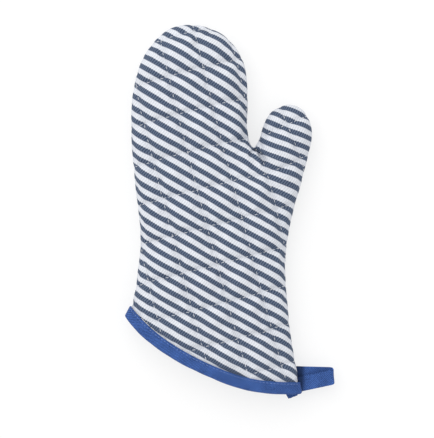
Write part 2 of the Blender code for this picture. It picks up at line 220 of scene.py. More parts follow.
@dataclass(frozen=True)
class Pattern:
    """The mitt's flat outline and the heights that it is inflated to."""

    hand_seam: tuple = (
        (-0.0815, -0.0880), (-0.0762, -0.0745), (-0.0717, -0.0500), (-0.0695, -0.0150), (-0.0750, 0.0450),
        (-0.0773, 0.0900), (-0.0715, 0.1330), (-0.0510, 0.1650), (-0.0225, 0.1745), (0.0050, 0.1655),
        (0.0228, 0.1440), (0.0278, 0.1130), (0.0277, 0.0840), (0.0300, 0.0700), (0.0332, 0.0642),
    )
    thumb_seam: tuple = (
        (0.0332, 0.0642), (0.0372, 0.0725), (0.0440, 0.0895), (0.0520, 0.0985), (0.0650, 0.1027),
        (0.0795, 0.0950), (0.0852, 0.0740), (0.0772, 0.0370), (0.0658, -0.0060), (0.0620, -0.0460),
        (0.0662, -0.1030), (0.0735, -0.1430), (0.0752, -0.1570),
    )
    cuff_edge: tuple = (
        (-0.0826, -0.0880), (-0.0688, -0.1024), (-0.0460, -0.1196), (-0.0137, -0.1372), (0.0200, -0.1500),
        (0.0480, -0.1550), (0.0760, -0.1568),
    )
    wrist_end: tuple = (0.0621, -0.0440)
    seam_height: float = 0.016
    front_rise: float = 0.022
    front_round: float = 0.062
    back_round: float = 0.024
    binding_width: float = 0.011
    seam_pull: float = 0.0009

    @property
    def crotch(self) -> Points:
        """Where the hand's seam meets the thumb's."""
        return np.array(self.hand_seam[-1])

    @property
    def fold_along(self) -> Points:
        """The unit direction of the thumb's fold, from the crotch towards the wrist."""
        run = np.array(self.wrist_end) - self.crotch
        return run / np.linalg.norm(run)

    @property
    def fold_out(self) -> Points:
        """The unit direction across the thumb's fold, out to the thumb."""
        return np.array([-self.fold_along[1], self.fold_along[0]])

    def rim(self, step: float) -> Points:
        """The side seam, from the little finger's end of the cuff, round to the thumb's end."""
        hand = smooth_line(self.hand_seam, step)
        thumb = smooth_line(self.thumb_seam, step)
        return np.concatenate([hand[:-1], thumb])

    def cuff(self, inset: float, step: float) -> Points:
        """The cuff's edge, moved up into the mitt by inset."""
        line = smooth_line(self.cuff_edge, step)
        return line + left_of(line) * inset

    def beyond_fold(self, places: Points) -> Points:
        """How far each place lies out past the thumb's fold line."""
        return (places[:, :2] - self.crotch) @ self.fold_out

    def on_thumb(self, places: Points) -> Points:
        """Whether each place belongs to the thumb's panel."""
        below = places[:, 1] < self.crotch[1]
        return np.where(below, self.beyond_fold(places) > 0, places[:, 0] > self.crotch[0])

    def profile(self, half: Half) -> tuple[float, float]:
        """How high one half rises, and how far inside the seam it gets there."""
        if half is Half.FRONT:
            return self.front_rise, self.front_round
        return self.seam_height, self.back_round

    def inflated(self, half: Half, places: Points, depths: Points, slopes: Points,
                 on_seam: Points) -> tuple[Points, Points]:
        """Lifts flat places onto the smooth outer surface of one half.

        Args:
            half: which half.
            places: the flat places.
            depths: how deep each lies inside the seam.
            slopes: the depth's gradient there, which points inwards.
            on_seam: whether each is taken to lie on the seam itself.

        Returns:
            The points, and the unit normals, which point out of the mitt.
        """
        rise, reach = self.profile(half)
        left = np.clip(1 - depths / reach, 0.0, 1.0)
        share = np.where(on_seam, 0.0, np.sqrt(np.clip(1 - left**2, 1e-12, 1.0)))
        steep = rise / reach * left / np.maximum(share, 1e-6)
        normal = np.column_stack([-slopes * steep[:, None], np.full(len(steep), half.value)])
        flat = np.column_stack([-slopes, np.zeros(len(steep))])
        normal = np.where(on_seam[:, None], flat, normal)
        normal /= np.linalg.norm(normal, axis=1, keepdims=True)
        return np.column_stack([places, self.seam_height + half.value * rise * share]), normal


class DepthField:
    """How deep a place lies inside the side seam, rounded off halfway between two sides."""

    RIM_STEP = 0.002
    SEGMENT = 0.0004
    PAST_CUFF = 0.043
    CHUNK = 1500

    def __init__(self, pattern: Pattern) -> None:
        """Lays the seam out in short segments, run on past the cuff."""
        dense = resampled(extended(pattern.rim(self.RIM_STEP), self.PAST_CUFF), self.SEGMENT)
        self.middles = (dense[1:] + dense[:-1]) / 2
        self.lengths = np.linalg.norm(np.diff(dense, axis=0), axis=1)

    def read(self, places: Points) -> tuple[Points, Points]:
        """Reads the field.

        Args:
            places: flat places, one per row.

        Returns:
            The depth and its gradient at each place.
        """
        depths, slopes = [], []
        for start in range(0, len(places), self.CHUNK):
            away = places[start:start + self.CHUNK, None, :] - self.middles[None, :, :]
            square = (away**2).sum(axis=2)
            weight = self.lengths / square**2
            total = weight.sum(axis=1) / (math.pi / 2)
            pull = (away * (weight / square)[:, :, None]).sum(axis=1) / (math.pi / 2)
            depths.append(total ** (-1 / 3))
            slopes.append((4 / 3) * (total ** (-4 / 3))[:, None] * pull)
        return np.concatenate(depths), np.concatenate(slopes)


@dataclass(frozen=True)
class QuiltGrid:
    """The squares of stitching that hold cover, wadding and lining together."""

    across: float = 0.0321
    across_start: float = 0.0222
    along: float = 0.0344
    along_start: float = 0.0046
    across_way: tuple = (0.9675, 0.2526)
    along_way: tuple = (0.2526, -0.9675)

    def squares(self, cloth: Points) -> tuple[Points, Points]:
        """Each cloth point's place in the grid, in squares across and along."""
        across = (cloth @ np.array(self.across_way) - self.across_start) / self.across
        along = (cloth @ np.array(self.along_way) - self.along_start) / self.along
        return across, along

    def cloth(self, across: Points, along: Points) -> Points:
        """The cloth points at those places in the grid."""
        p = across * self.across + self.across_start
        q = along * self.along + self.along_start
        return p[:, None] * np.array(self.across_way) + q[:, None] * np.array(self.along_way)

    def off_line(self, cloth: Points) -> tuple[Points, Points]:
        """The signed distances from each cloth point to the nearest line of each family, in metres."""
        across, along = self.squares(cloth)
        return (across - np.round(across)) * self.across, (along - np.round(along)) * self.along


@dataclass
class Net:
    """The flat net of points and triangles that both halves of the mitt are shaped from."""

    pattern: Pattern
    grid: QuiltGrid
    spacing: float = 0.0022
    rim_step: float = 0.0022
    rings: tuple = (0.0009, 0.0022)
    cuff_inset: float = 0.0022
    fine_reach: float = 0.018
    cuff_ends: int = 3
    ring_ends: int = 2
    seam_clear: float = 0.8
    ring_clear: float = 0.55
    margin: float = 0.02
    reach: int = 12
    edge_step: float = 0.002

    def __post_init__(self) -> None:
        """Lays the points along the quilting, and joins them into triangles."""
        rim = self.pattern.rim(self.rim_step)
        cuff = self.pattern.cuff(self.cuff_inset, self.rim_step)[self.cuff_ends:-self.cuff_ends][::-1]
        boundary = np.concatenate([rim, cuff])
        inward = -left_of(rim)
        middle = slice(self.ring_ends, -self.ring_ends)
        rows = [rim[middle] + inward[middle] * inset for inset in self.rings]
        lattice = self._lattice(rim)
        field_ = DepthField(self.pattern)
        inner = np.concatenate([*rows, lattice])
        inner = inner[self._inside(inner, boundary)]
        deep, _ = field_.read(inner)
        inner = inner[deep > self.rings[0] * self.seam_clear]
        places = np.concatenate([boundary, inner])
        outline = list(range(len(boundary)))
        net = delaunay_2d_cdt([tuple(p) for p in places], [], [outline], 1, 1e-6)
        self.places = np.array([tuple(v) for v in net[0]])
        self.faces = [tuple(face) for face in net[2]]
        first = [min(ids, default=len(places)) for ids in net[3]]
        self.on_rim = np.array([k < len(rim) for k in first])
        self.depths, self.slopes = field_.read(self.places)
        for index, slope in enumerate(inward):
            vertex = first.index(index)
            self.depths[vertex] = 0.0
            self.slopes[vertex] = slope
        self.from_cuff = nearest(self.places, self.pattern.cuff(0.0, self.edge_step))
        LOG.info("net: %d points, %d triangles", len(self.places), len(self.faces))

    def _lattice(self, rim: Points) -> Points:
        """Points in rows along the quilting, with a whole number of rows to a square."""
        fine = self._rows_of_points(2)
        near_crotch = np.linalg.norm(fine - self.pattern.crotch, axis=1) < self.fine_reach
        coarse = self._rows_of_points(1)
        away = np.linalg.norm(coarse - self.pattern.crotch, axis=1) >= self.fine_reach
        points = np.concatenate([coarse[away], fine[near_crotch]])
        low, high = rim.min(axis=0) - self.margin, rim.max(axis=0) + self.margin
        points = points[((points > low) & (points < high)).all(axis=1)]
        return points[nearest(points, rim) > self.rings[-1] + self.ring_clear * self.spacing]

    def _rows_of_points(self, finer: int) -> Points:
        """A lattice along the quilting, that many times finer than the net's own spacing."""
        counts = [finer * round(side / self.spacing) for side in (self.grid.across, self.grid.along)]
        a, b = np.meshgrid(*[np.arange(-self.reach * n, self.reach * n + 1) / n for n in counts])
        return self.grid.cloth(a.ravel(), b.ravel())

    @staticmethod
    def _inside(places: Points, outline: Points) -> Points:
        """Whether each place lies inside the closed outline."""
        within = np.zeros(len(places), bool)
        for (x0, y0), (x1, y1) in zip(outline, np.roll(outline, -1, axis=0)):
            if y0 == y1:
                continue
            crosses = (y0 > places[:, 1]) != (y1 > places[:, 1])
            within ^= crosses & (places[:, 0] < x0 + (places[:, 1] - y0) * (x1 - x0) / (y1 - y0))
        return within


# ---- Meshes --------------------------------------------------------------------------------------


def deselect() -> None:
    """Deselects everything, as an operator acts on all that is selected."""
    for obj in bpy.context.view_layer.objects:
        obj.select_set(False)


def activate(piece: Piece) -> None:
    """Selects only that piece, and makes it active."""
    deselect()
    piece.select_set(True)
    bpy.context.view_layer.objects.active = piece


def piece_from(name: str, points: Points, faces: list) -> Piece:
    """A new mesh piece, smooth all over.

    Args:
        name: its name.
        points: its vertices, one per row.
        faces: the vertices of each face.

    Returns:
        The piece, linked to the scene.
    """
    data = bpy.data.meshes.new(name)
    data.from_pydata([tuple(map(float, p)) for p in points], [], faces)
    data.shade_smooth()
    piece = bpy.data.objects.new(name, data)
    bpy.context.scene.collection.objects.link(piece)
    return piece


def coordinates(piece: Piece, what: str = "co") -> Points:
    """The piece's vertices, or what else each has three of, one per row."""
    flat = np.zeros(len(piece.data.vertices) * 3, np.float32)
    piece.data.vertices.foreach_get(what, flat)
    return flat.reshape(-1, 3).astype(float)


def normals(piece: Piece) -> Points:
    """The piece's vertex normals, one per row."""
    return coordinates(piece, "normal")


def place(piece: Piece, points: Points) -> None:
    """Moves the piece's vertices to those points."""
    piece.data.vertices.foreach_set("co", points.astype(np.float32).ravel())
    piece.data.update()


def finish_modifiers(piece: Piece) -> None:
    """Applies the piece's modifiers in order."""
    activate(piece)
    for modifier in list(piece.modifiers):
        bpy.ops.object.modifier_apply(modifier=modifier.name)


def subdivide(piece: Piece) -> None:
    """Applies one level of Subdivision Surface that leaves the open edges and their corners in place."""
    made = piece.modifiers.new("smoother", "SUBSURF")
    made.levels = made.render_levels = 1
    made.boundary_smooth = "ALL"
    finish_modifiers(piece)


def thicken(piece: Piece, thickness: float) -> None:
    """Gives an open surface a wall of that thickness on its inner side."""
    made = piece.modifiers.new("wall", "SOLIDIFY")
    made.thickness = thickness
    made.offset = -1.0
    made.use_even_offset = False
    finish_modifiers(piece)
    activate(piece)
    bpy.ops.object.shade_smooth_by_angle(angle=CORNER_ANGLE)


def vertex_uv(piece: Piece) -> Points:
    """The cloth point of each vertex, read from the piece's UV map."""
    data = piece.data
    flat = np.zeros(len(data.loops) * 2, np.float32)
    data.uv_layers.active.data.foreach_get("uv", flat)
    corner = np.zeros(len(data.loops), np.int32)
    data.loops.foreach_get("vertex_index", corner)
    found = np.zeros((len(data.vertices), 2))
    found[corner] = flat.reshape(-1, 2)
    return found


def write_uv(piece: Piece, cloth: Points) -> None:
    """Writes each vertex's cloth point into the piece's UV map."""
    data = piece.data
    layer = data.uv_layers.active or data.uv_layers.new(name="cloth")
    corner = np.zeros(len(data.loops), np.int32)
    data.loops.foreach_get("vertex_index", corner)
    layer.data.foreach_set("uv", cloth[corner].astype(np.float32).ravel())


def keep_above(piece: Piece, level: float) -> None:
    """Lifts the piece's lower vertices to that level."""
    points = coordinates(piece)
    points[:, 2] = np.maximum(points[:, 2], level)
    place(piece, points)


def rippled(piece: Piece, ripple: Points) -> Points:
    """The piece's vertices, each moved out along its normal by its own ripple."""
    return coordinates(piece) + normals(piece) * ripple[:, None]


def copy_of(piece: Piece, name: str) -> Piece:
    """A copy of the piece with a mesh of its own."""
    made = piece.copy()
    made.data = piece.data.copy()
    made.name = made.data.name = name
    bpy.context.scene.collection.objects.link(made)
    return made


def dress(piece: Piece, finish: Material) -> None:
    """Gives the piece its material."""
    piece.data.materials.clear()
    piece.data.materials.append(finish)
    LOG.info("%s: %d faces", piece.name, len(piece.data.polygons))


# ---- Shader groups -------------------------------------------------------------------------------


class Nodes:
    """A short hand for building a node tree."""

    def __init__(self, tree: bpy.types.NodeTree) -> None:
        """Takes the tree that the nodes go in."""
        self.tree = tree

    def add(self, kind: str, **values: object) -> bpy.types.Node:
        """A new node of that kind, with its properties set."""
        node = self.tree.nodes.new(kind)
        for key, value in values.items():
            setattr(node, key, value)
        return node

    def link(self, source: Socket, target: Socket) -> None:
        """Links two sockets."""
        self.tree.links.new(source, target)

    def math(self, operation: str, *terms: object) -> Socket:
        """A Math node's result.

        Args:
            operation: its operation.
            terms: its inputs, each a number or a socket.

        Returns:
            Its output socket.
        """
        node = self.add("ShaderNodeMath", operation=operation)
        for socket, term in zip(node.inputs, terms):
            if isinstance(term, Socket):
                self.link(term, socket)
            else:
                socket.default_value = term
        return node.outputs[0]

    def dot(self, vector: Socket, way: tuple[float, float]) -> Socket:
        """How far a flat vector reaches along a flat way."""
        node = self.add("ShaderNodeVectorMath", operation="DOT_PRODUCT")
        self.link(vector, node.inputs[0])
        node.inputs[1].default_value = (way[0], way[1], 0.0)
        return node.outputs["Value"]

    def noise(self, vector: Socket, scale: float, detail: float = 2.0) -> Socket:
        """A noise texture's value."""
        node = self.add("ShaderNodeTexNoise")
        node.inputs["Scale"].default_value = scale
        node.inputs["Detail"].default_value = detail
        self.link(vector, node.inputs["Vector"])
        return node.outputs["Fac"]

    def ramp(self, value: Socket, low: float, high: float, start: float = 0.0,
             end: float = 1.0) -> Socket:
        """Maps low to high onto start to end, smoothly and clamped."""
        node = self.add("ShaderNodeMapRange", interpolation_type="SMOOTHSTEP")
        self.link(value, node.inputs["Value"])
        for name, number in (("From Min", low), ("From Max", high), ("To Min", start), ("To Max", end)):
            node.inputs[name].default_value = number
        return node.outputs["Result"]

    def mix(self, share: object, first: object, second: object, blend: str = "MIX") -> Socket:
        """Mixes two colours.

        Args:
            share: how much of the second, a number or a socket.
            first: a colour or a socket.
            second: a colour or a socket.
            blend: the way that they mix.

        Returns:
            The mixed colour's socket.
        """
        node = self.add("ShaderNodeMix", data_type="RGBA", blend_type=blend)
        for socket, term in zip((node.inputs[0], node.inputs[6], node.inputs[7]), (share, first, second)):
            if isinstance(term, Socket):
                self.link(term, socket)
            elif isinstance(term, tuple):
                socket.default_value = (*term, 1.0)
            else:
                socket.default_value = term
        return node.outputs[2]


def new_group(name: str, inputs: dict[str, float | None], outputs: tuple[str, ...]) -> tuple:
    """Starts a shader node group.

    Args:
        name: its name.
        inputs: the input sockets; None makes a vector socket and a number a value's default.
        outputs: the output sockets, all values.

    Returns:
        The group, its Nodes, its input node and its output node.
    """
    group = bpy.data.node_groups.new(name, "ShaderNodeTree")
    for label, default in inputs.items():
        kind = "NodeSocketVector" if default is None else "NodeSocketFloat"
        socket = group.interface.new_socket(name=label, in_out="INPUT", socket_type=kind)
        if default is not None:
            socket.default_value = default
    for label in outputs:
        group.interface.new_socket(name=label, in_out="OUTPUT", socket_type="NodeSocketFloat")
    nodes = Nodes(group)
    return group, nodes, nodes.add("NodeGroupInput"), nodes.add("NodeGroupOutput")


def weave_group() -> bpy.types.NodeTree:
    """Threads that cross: Height stands for the cloth's relief, and Shade for the yarn's unevenness."""
    inputs = {"Cloth": None, "Thread": 0.0008, "Twill": 1.0, "Slub": 0.5}
    group, nodes, given, result = new_group("crossing threads", inputs, ("Height", "Shade"))
    wobble_scale, wobble_reach = 260.0, 0.9
    rib_share, yarn_share = 0.85, 0.6
    yarn_scale, patch_scale, detail = 900.0, 90.0, 3.0
    wobble = nodes.add("ShaderNodeTexNoise")
    wobble.inputs["Scale"].default_value = wobble_scale
    nodes.link(given.outputs["Cloth"], wobble.inputs["Vector"])
    split = nodes.add("ShaderNodeSeparateXYZ")
    nodes.link(given.outputs["Cloth"], split.inputs[0])
    drift = nodes.math("MULTIPLY", nodes.math("SUBTRACT", wobble.outputs["Fac"], 0.5), wobble_reach)
    warp = nodes.math("ADD", nodes.math("DIVIDE", split.outputs[0], given.outputs["Thread"]), drift)
    weft = nodes.math("ADD", nodes.math("DIVIDE", split.outputs[1], given.outputs["Thread"]), drift)
    lean = nodes.math("MULTIPLY", weft, given.outputs["Twill"])
    rib = nodes.math("SINE", nodes.math("MULTIPLY", nodes.math("ADD", warp, lean), math.pi))
    cross = nodes.math("SINE", nodes.math("MULTIPLY", weft, 2 * math.pi))
    rib_up = nodes.math("ADD", nodes.math("MULTIPLY", rib, 0.5), 0.5)
    cross_up = nodes.math("ADD", nodes.math("MULTIPLY", cross, 0.5), 0.5)
    height = nodes.math("ADD", nodes.math("MULTIPLY", rib_up, rib_share),
                        nodes.math("MULTIPLY", cross_up, 1 - rib_share))
    nodes.link(height, result.inputs["Height"])
    yarn = nodes.noise(given.outputs["Cloth"], yarn_scale, detail)
    patch = nodes.noise(given.outputs["Cloth"], patch_scale, detail)
    uneven = nodes.math("ADD", nodes.math("MULTIPLY", yarn, yarn_share),
                        nodes.math("MULTIPLY", patch, 1 - yarn_share))
    shade = nodes.math("MULTIPLY", nodes.math("SUBTRACT", uneven, 0.5), given.outputs["Slub"])
    nodes.link(shade, result.inputs["Shade"])
    return group


def fuzz_group() -> bpy.types.NodeTree:
    """Lint: a mask of the short pale fibres that stand out of cotton."""
    inputs = {"Cloth": None, "Amount": 0.2}
    group, nodes, given, result = new_group("lint", inputs, ("Mask",))
    fibre_scale, fibre_turn, fibre_rise = (420.0, 1500.0, 1.0), 0.6, (0.60, 0.74)
    stretched = nodes.add("ShaderNodeMapping")
    stretched.inputs["Scale"].default_value = fibre_scale
    stretched.inputs["Rotation"].default_value = (0.0, 0.0, fibre_turn)
    nodes.link(given.outputs["Cloth"], stretched.inputs["Vector"])
    mask = nodes.ramp(nodes.noise(stretched.outputs[0], 1.0, detail=4.0), *fibre_rise)
    nodes.link(nodes.math("MULTIPLY", mask, given.outputs["Amount"]), result.inputs["Mask"])
    return group


@dataclass(frozen=True)
class ClothGroups:
    """The shader groups that the cloth finishes share."""

    weave: bpy.types.NodeTree
    fuzz: bpy.types.NodeTree


# ---- Finishes ------------------------------------------------------------------------------------


def linear(red: int, green: int, blue: int) -> tuple[float, float, float]:
    """A screen colour, 0 to 255, as the light that it stands for."""
    parts = [part / 255 for part in (red, green, blue)]
    return tuple(p / 12.92 if p <= 0.04045 else ((p + 0.055) / 1.055) ** 2.4 for p in parts)


@dataclass(frozen=True)
class ClothFinish:
    """A cotton cloth of one colour, with painted shade darkening its weave's hollows. The other cloths build on
    it.
    """

    name: str
    colour: tuple
    groups: ClothGroups
    thread: float = 0.0008
    twill: float = 1.0
    slub: float = 0.5
    lint: float = 0.15
    lint_colour: tuple = (0.8, 0.8, 0.8)
    relief: float = 0.00012
    roughness: float = 0.88
    sheen: float = 0.25
    lean: float = 0.0
    # Painted shade: the colour is darkened by this factor in the weave's hollows, and lifts back to full over this
    # much of the weave's height.
    hollow_shade: float = 0.72
    hollow_shade_reach: float = 0.9
    shine: float = 0.2
    polish: float = 0.08
    bump: float = 0.7
    sheen_roughness: float = 0.5

    def base_colour(self, nodes: Nodes, cloth: Socket,
                    weave: bpy.types.Node) -> Socket:
        """The yarn's colour before lint, darkened in the weave's hollows by painted shade."""
        # Painted shade: the yarn's colour darkened where the weave's relief is low.
        dark = tuple(part * self.hollow_shade for part in self.colour)
        share = nodes.ramp(weave.outputs["Height"], 0.0, self.hollow_shade_reach)
        return nodes.mix(share, dark, self.colour)

    def material(self) -> Material:
        """Builds the material."""
        made = bpy.data.materials.new(self.name)
        made.use_nodes = True
        shader = made.node_tree.nodes["Principled BSDF"]
        nodes = Nodes(made.node_tree)
        cloth = nodes.add("ShaderNodeUVMap", uv_map="cloth").outputs["UV"]
        weave = nodes.add("ShaderNodeGroup", node_tree=self.groups.weave)
        yarns = nodes.add("ShaderNodeCombineXYZ")
        nodes.link(nodes.dot(cloth, (math.cos(self.lean), -math.sin(self.lean))), yarns.inputs[0])
        nodes.link(nodes.dot(cloth, (math.sin(self.lean), math.cos(self.lean))), yarns.inputs[1])
        nodes.link(yarns.outputs[0], weave.inputs["Cloth"])
        weave.inputs["Thread"].default_value = self.thread
        weave.inputs["Twill"].default_value = self.twill
        weave.inputs["Slub"].default_value = self.slub
        fuzz = nodes.add("ShaderNodeGroup", node_tree=self.groups.fuzz)
        nodes.link(cloth, fuzz.inputs["Cloth"])
        fuzz.inputs["Amount"].default_value = self.lint
        colour = self.base_colour(nodes, cloth, weave)
        lightness = nodes.math("ADD", weave.outputs["Shade"], 1.0)
        uneven = nodes.add("ShaderNodeHueSaturation")
        nodes.link(colour, uneven.inputs["Color"])
        nodes.link(lightness, uneven.inputs["Value"])
        colour = nodes.mix(fuzz.outputs["Mask"], uneven.outputs[0], self.lint_colour)
        nodes.link(colour, shader.inputs["Base Color"])
        polish = nodes.math("MULTIPLY", weave.outputs["Height"], self.polish)
        rough = nodes.math("SUBTRACT", self.roughness, polish)
        nodes.link(rough, shader.inputs["Roughness"])
        bump = nodes.add("ShaderNodeBump")
        bump.inputs["Strength"].default_value = self.bump
        bump.inputs["Distance"].default_value = self.relief
        nodes.link(weave.outputs["Height"], bump.inputs["Height"])
        nodes.link(bump.outputs[0], shader.inputs["Normal"])
        shader.inputs["Sheen Weight"].default_value = self.sheen
        shader.inputs["Sheen Roughness"].default_value = self.sheen_roughness
        shader.inputs["Specular IOR Level"].default_value = self.shine
        return made


@dataclass(frozen=True)
class TickingFinish(ClothFinish):
    """Ticking: slate-blue and off-white stripes in a cotton twill."""

    pale: tuple = (0.75, 0.77, 0.80)
    pitch: float = 0.008916
    lean: float = math.radians(29.92)
    start: float = 0.09733
    softness: float = 0.06
    ragged: float = 0.05
    weft_share: float = 0.08
    # Painted shade in the weave's hollows: the dark stripes fall to this share of their colour, the pale ones to
    # the share below, each lifting back over its given span of the weave's height.
    deep: float = 0.60
    hollow_shade_rise: tuple = (0.15, 0.8)
    rib_shade: float = 0.84
    rib_shade_rise: tuple = (0.0, 0.8)

    def base_colour(self, nodes: Nodes, cloth: Socket,
                    weave: bpy.types.Node) -> Socket:
        """The stripes, with weft showing through the dark ones, and painted shade darkening the weave's hollows in
        both: in the dark ones and between the pale ones' ribs.
        """
        across = nodes.dot(cloth, (math.sin(self.lean), math.cos(self.lean)))
        off_middle = nodes.math("SUBTRACT", weave.outputs["Height"], 0.5)
        ragged = nodes.math("MULTIPLY", off_middle, self.ragged)
        even = nodes.math("DIVIDE", nodes.math("SUBTRACT", across, self.start), self.pitch)
        count = nodes.math("ADD", even, ragged)
        away = nodes.math("ABSOLUTE", nodes.math("SUBTRACT", nodes.math("FRACT", count), 0.5))
        edge = 0.25
        stripe = nodes.ramp(away, edge - self.softness / 2, edge + self.softness / 2)
        share = self.weft_share
        weft = tuple((1 - share) * a + share * b for a, b in zip(self.colour, self.pale))
        # Painted shade: the dark stripe's colour darkened in the weave's hollows, mixed towards the weft's real
        # colour on the raised threads.
        deep = tuple(part * self.deep for part in self.colour)
        dark = nodes.mix(nodes.ramp(weave.outputs["Height"], *self.hollow_shade_rise), deep, weft)
        # Painted shade: the pale stripe's colour darkened between the ribs.
        rib_shade = tuple(part * self.rib_shade for part in self.pale)
        pale = nodes.mix(nodes.ramp(weave.outputs["Height"], *self.rib_shade_rise), rib_shade, self.pale)
        return nodes.mix(stripe, dark, pale)


@dataclass(frozen=True)
class LoopShadeFinish(ClothFinish):
    """The loop's tape, with painted shade that turns it deep blue where it goes in between the two halves, where
    the gap's shadow falls.
    """

    # Painted shade: the span along x over which the gap's shadow fades out, and how dark it is at the root.
    shaded: tuple = (0.0753, 0.0808)
    depth: float = 0.22

    def base_colour(self, nodes: Nodes, cloth: Socket,
                    weave: bpy.types.Node) -> Socket:
        """The tape's colour, darkened near the loop's root by painted shade."""
        plain = super().base_colour(nodes, cloth, weave)
        place = nodes.add("ShaderNodeSeparateXYZ")
        nodes.link(nodes.add("ShaderNodeTexCoord").outputs["Object"], place.inputs[0])
        share = nodes.ramp(place.outputs[0], *self.shaded)
        deep = tuple(part * self.depth for part in self.colour)
        return nodes.mix(share, deep, plain)


# ---- The quilted halves --------------------------------------------------------------------------


@dataclass
class QuiltedHalf:
    """One half of the mitt: cover, wadding and lining, held together by quilting."""

    half: Half
    net: Net
    pattern: Pattern
    grid: QuiltGrid
    puff: float = 0.0030
    groove: float = 0.0015
    groove_width: float = 0.0021
    wall: float = 0.0056
    cuff_wall: float = 0.0032
    cloth: float = 0.0007
    lining_cloth: float = 0.0005
    slack: float = 0.0004
    thumb_turn: float = math.radians(8.5)
    side_share: float = 0.6
    side_samples: int = 4000
    stripe_lean: float = TickingFinish.lean
    bow: float = 0.10
    bow_rise: float = 0.0006
    bow_middle: float = 0.030
    draw: float = 0.0045
    draw_middle: tuple = (0.070, 0.085)
    draw_reach: float = 0.050
    skew: float = 0.0007
    skew_fade: tuple = (0.0, 0.09)
    skew_eased: float = 0.7
    skew_even: float = 0.7
    skew_width: float = 0.0016
    row_skew: float = 0.5
    turn_out: tuple = (0.0, 0.030)
    turn_down: tuple = (0.010, 0.085)
    creases: tuple = (
        ((0.57, -0.82), 0.021, 0.0068), ((-0.35, -0.94), 0.014, 0.0028), ((0.10, -0.99), 0.010, 0.0030),
    )
    crease_width: float = 0.0013
    crease_start: tuple = (0.0002, 0.0036)
    crease_full: float = 0.2
    ridge: float = 0.45
    ridge_place: float = 1.9
    fullness: float = 0.45
    row_share: float = 0.8
    unevenness: float = 0.25
    seam_fade: float = 0.010
    seam_share: float = 0.25
    seam_reach: float = 0.0012
    relief_fade: tuple = (-0.001, 0.010)
    cuff_draw: float = 0.0008
    cuff_fade: tuple = (0.010, 0.022)
    wall_fade: tuple = (0.011, 0.026)
    lining_gap: float = 0.0002
    stitch_clear: float = 0.001
    stitch_near: float = 0.55
    rest: float = 0.0003
    frames: int = 24
    cap: float = 0.0030

    def shape(self, sunk: Points | float) -> Points:
        """The half's smooth outer surface, sunk inwards.

        Args:
            sunk: how far, one number or one for each point of the net.

        Returns:
            A point for each point of the net.
        """
        net = self.net
        points, self.normal = self.pattern.inflated(
            self.half, net.places, net.depths, net.slopes, net.on_rim)
        return points - np.broadcast_to(sunk, len(points))[:, None] * self.normal

    def cloth_points(self) -> Points:
        """The flat cloth point of each point of the net, with the steep sides laid out flat."""
        rise, reach = self.pattern.profile(self.half)
        depth = np.linspace(0.0, reach, self.side_samples)
        height = rise * np.sqrt(1 - (1 - depth / reach) ** 2)
        length = distances(np.column_stack([depth, height]))
        beyond = (length[-1] - reach) - np.interp(self.net.depths, depth, length - depth)
        return self.net.places - self.net.slopes * (self.side_share * beyond)[:, None]

    def eased_thumb(self, cloth: Points) -> Points:
        """Turns the thumb's cloth about the crotch, as it is pushed over when the mitt is turned out."""
        out = self.pattern.beyond_fold(self.net.places)
        down = (self.net.places - self.pattern.crotch) @ self.pattern.fold_along
        share = smoothstep(*self.turn_out, out) * (1 - smoothstep(*self.turn_down, down))
        angle = -self.thumb_turn * share
        away = cloth - self.pattern.crotch
        c, s = np.cos(angle), np.sin(angle)
        turned = np.column_stack([away[:, 0] * c - away[:, 1] * s, away[:, 0] * s + away[:, 1] * c])
        return turned + self.pattern.crotch

    def drawn(self, cloth: Points) -> Points:
        """Draws the cloth a little across its stripes, most at the thumb, as the quilting took it up."""
        bow = self.bow_rise - self.bow * (cloth[:, 1] - self.bow_middle) ** 2
        away = np.linalg.norm(self.net.places - np.array(self.draw_middle), axis=1)
        shift = bow + self.draw * np.exp(-(away / self.draw_reach) ** 2)
        return cloth + shift[:, None] * np.array([math.sin(self.stripe_lean), math.cos(self.stripe_lean)])

    def skewed(self, cloth: Points) -> Points:
        """Slides the cloth a little in every square, so that the stripes step at the quilting."""
        across, along = self.grid.squares(cloth)
        off = across - np.round(across)
        step = np.tanh(off * self.grid.across / self.skew_width) * (1 - 2 * np.abs(off))
        eased = 1 - self.skew_eased * smoothstep(*self.skew_fade, self.net.places[:, 1])
        slide = self.skew * eased * step * (self.skew_even + wander(cloth, scale=0.055, seed=8))
        off_row = along - np.round(along)
        row_step = np.tanh(off_row * self.grid.along / self.skew_width) * (1 - 2 * np.abs(off_row))
        slide_row = self.row_skew * self.skew * row_step * wander(cloth, scale=0.050, seed=9)
        moved = cloth + slide[:, None] * np.array(self.grid.along_way)
        return moved + slide_row[:, None] * np.array(self.grid.across_way)

    def relief(self, cloth: Points) -> Points:
        """How far the quilting lifts the cloth off the smooth surface."""
        across, along = self.grid.squares(cloth)
        bulge = np.abs(np.sin(math.pi * across) * np.sin(math.pi * along)) ** self.fullness
        p, q = self.grid.off_line(cloth)
        row_pull = self.row_share * np.exp(-(q / self.groove_width) ** 2)
        pull = np.exp(-(p / self.groove_width) ** 2) + row_pull
        uneven = 1 + self.unevenness * wander(cloth, scale=0.030, seed=5)
        lift = self.puff * bulge * uneven - self.groove * pull
        off_seam = smoothstep(0.0, self.seam_fade, self.net.depths)
        ends = [self.pattern.binding_width + past for past in self.relief_fade]
        off_cuff = smoothstep(*ends, self.net.from_cuff)
        return lift * (self.seam_share + (1 - self.seam_share) * off_seam) * off_cuff

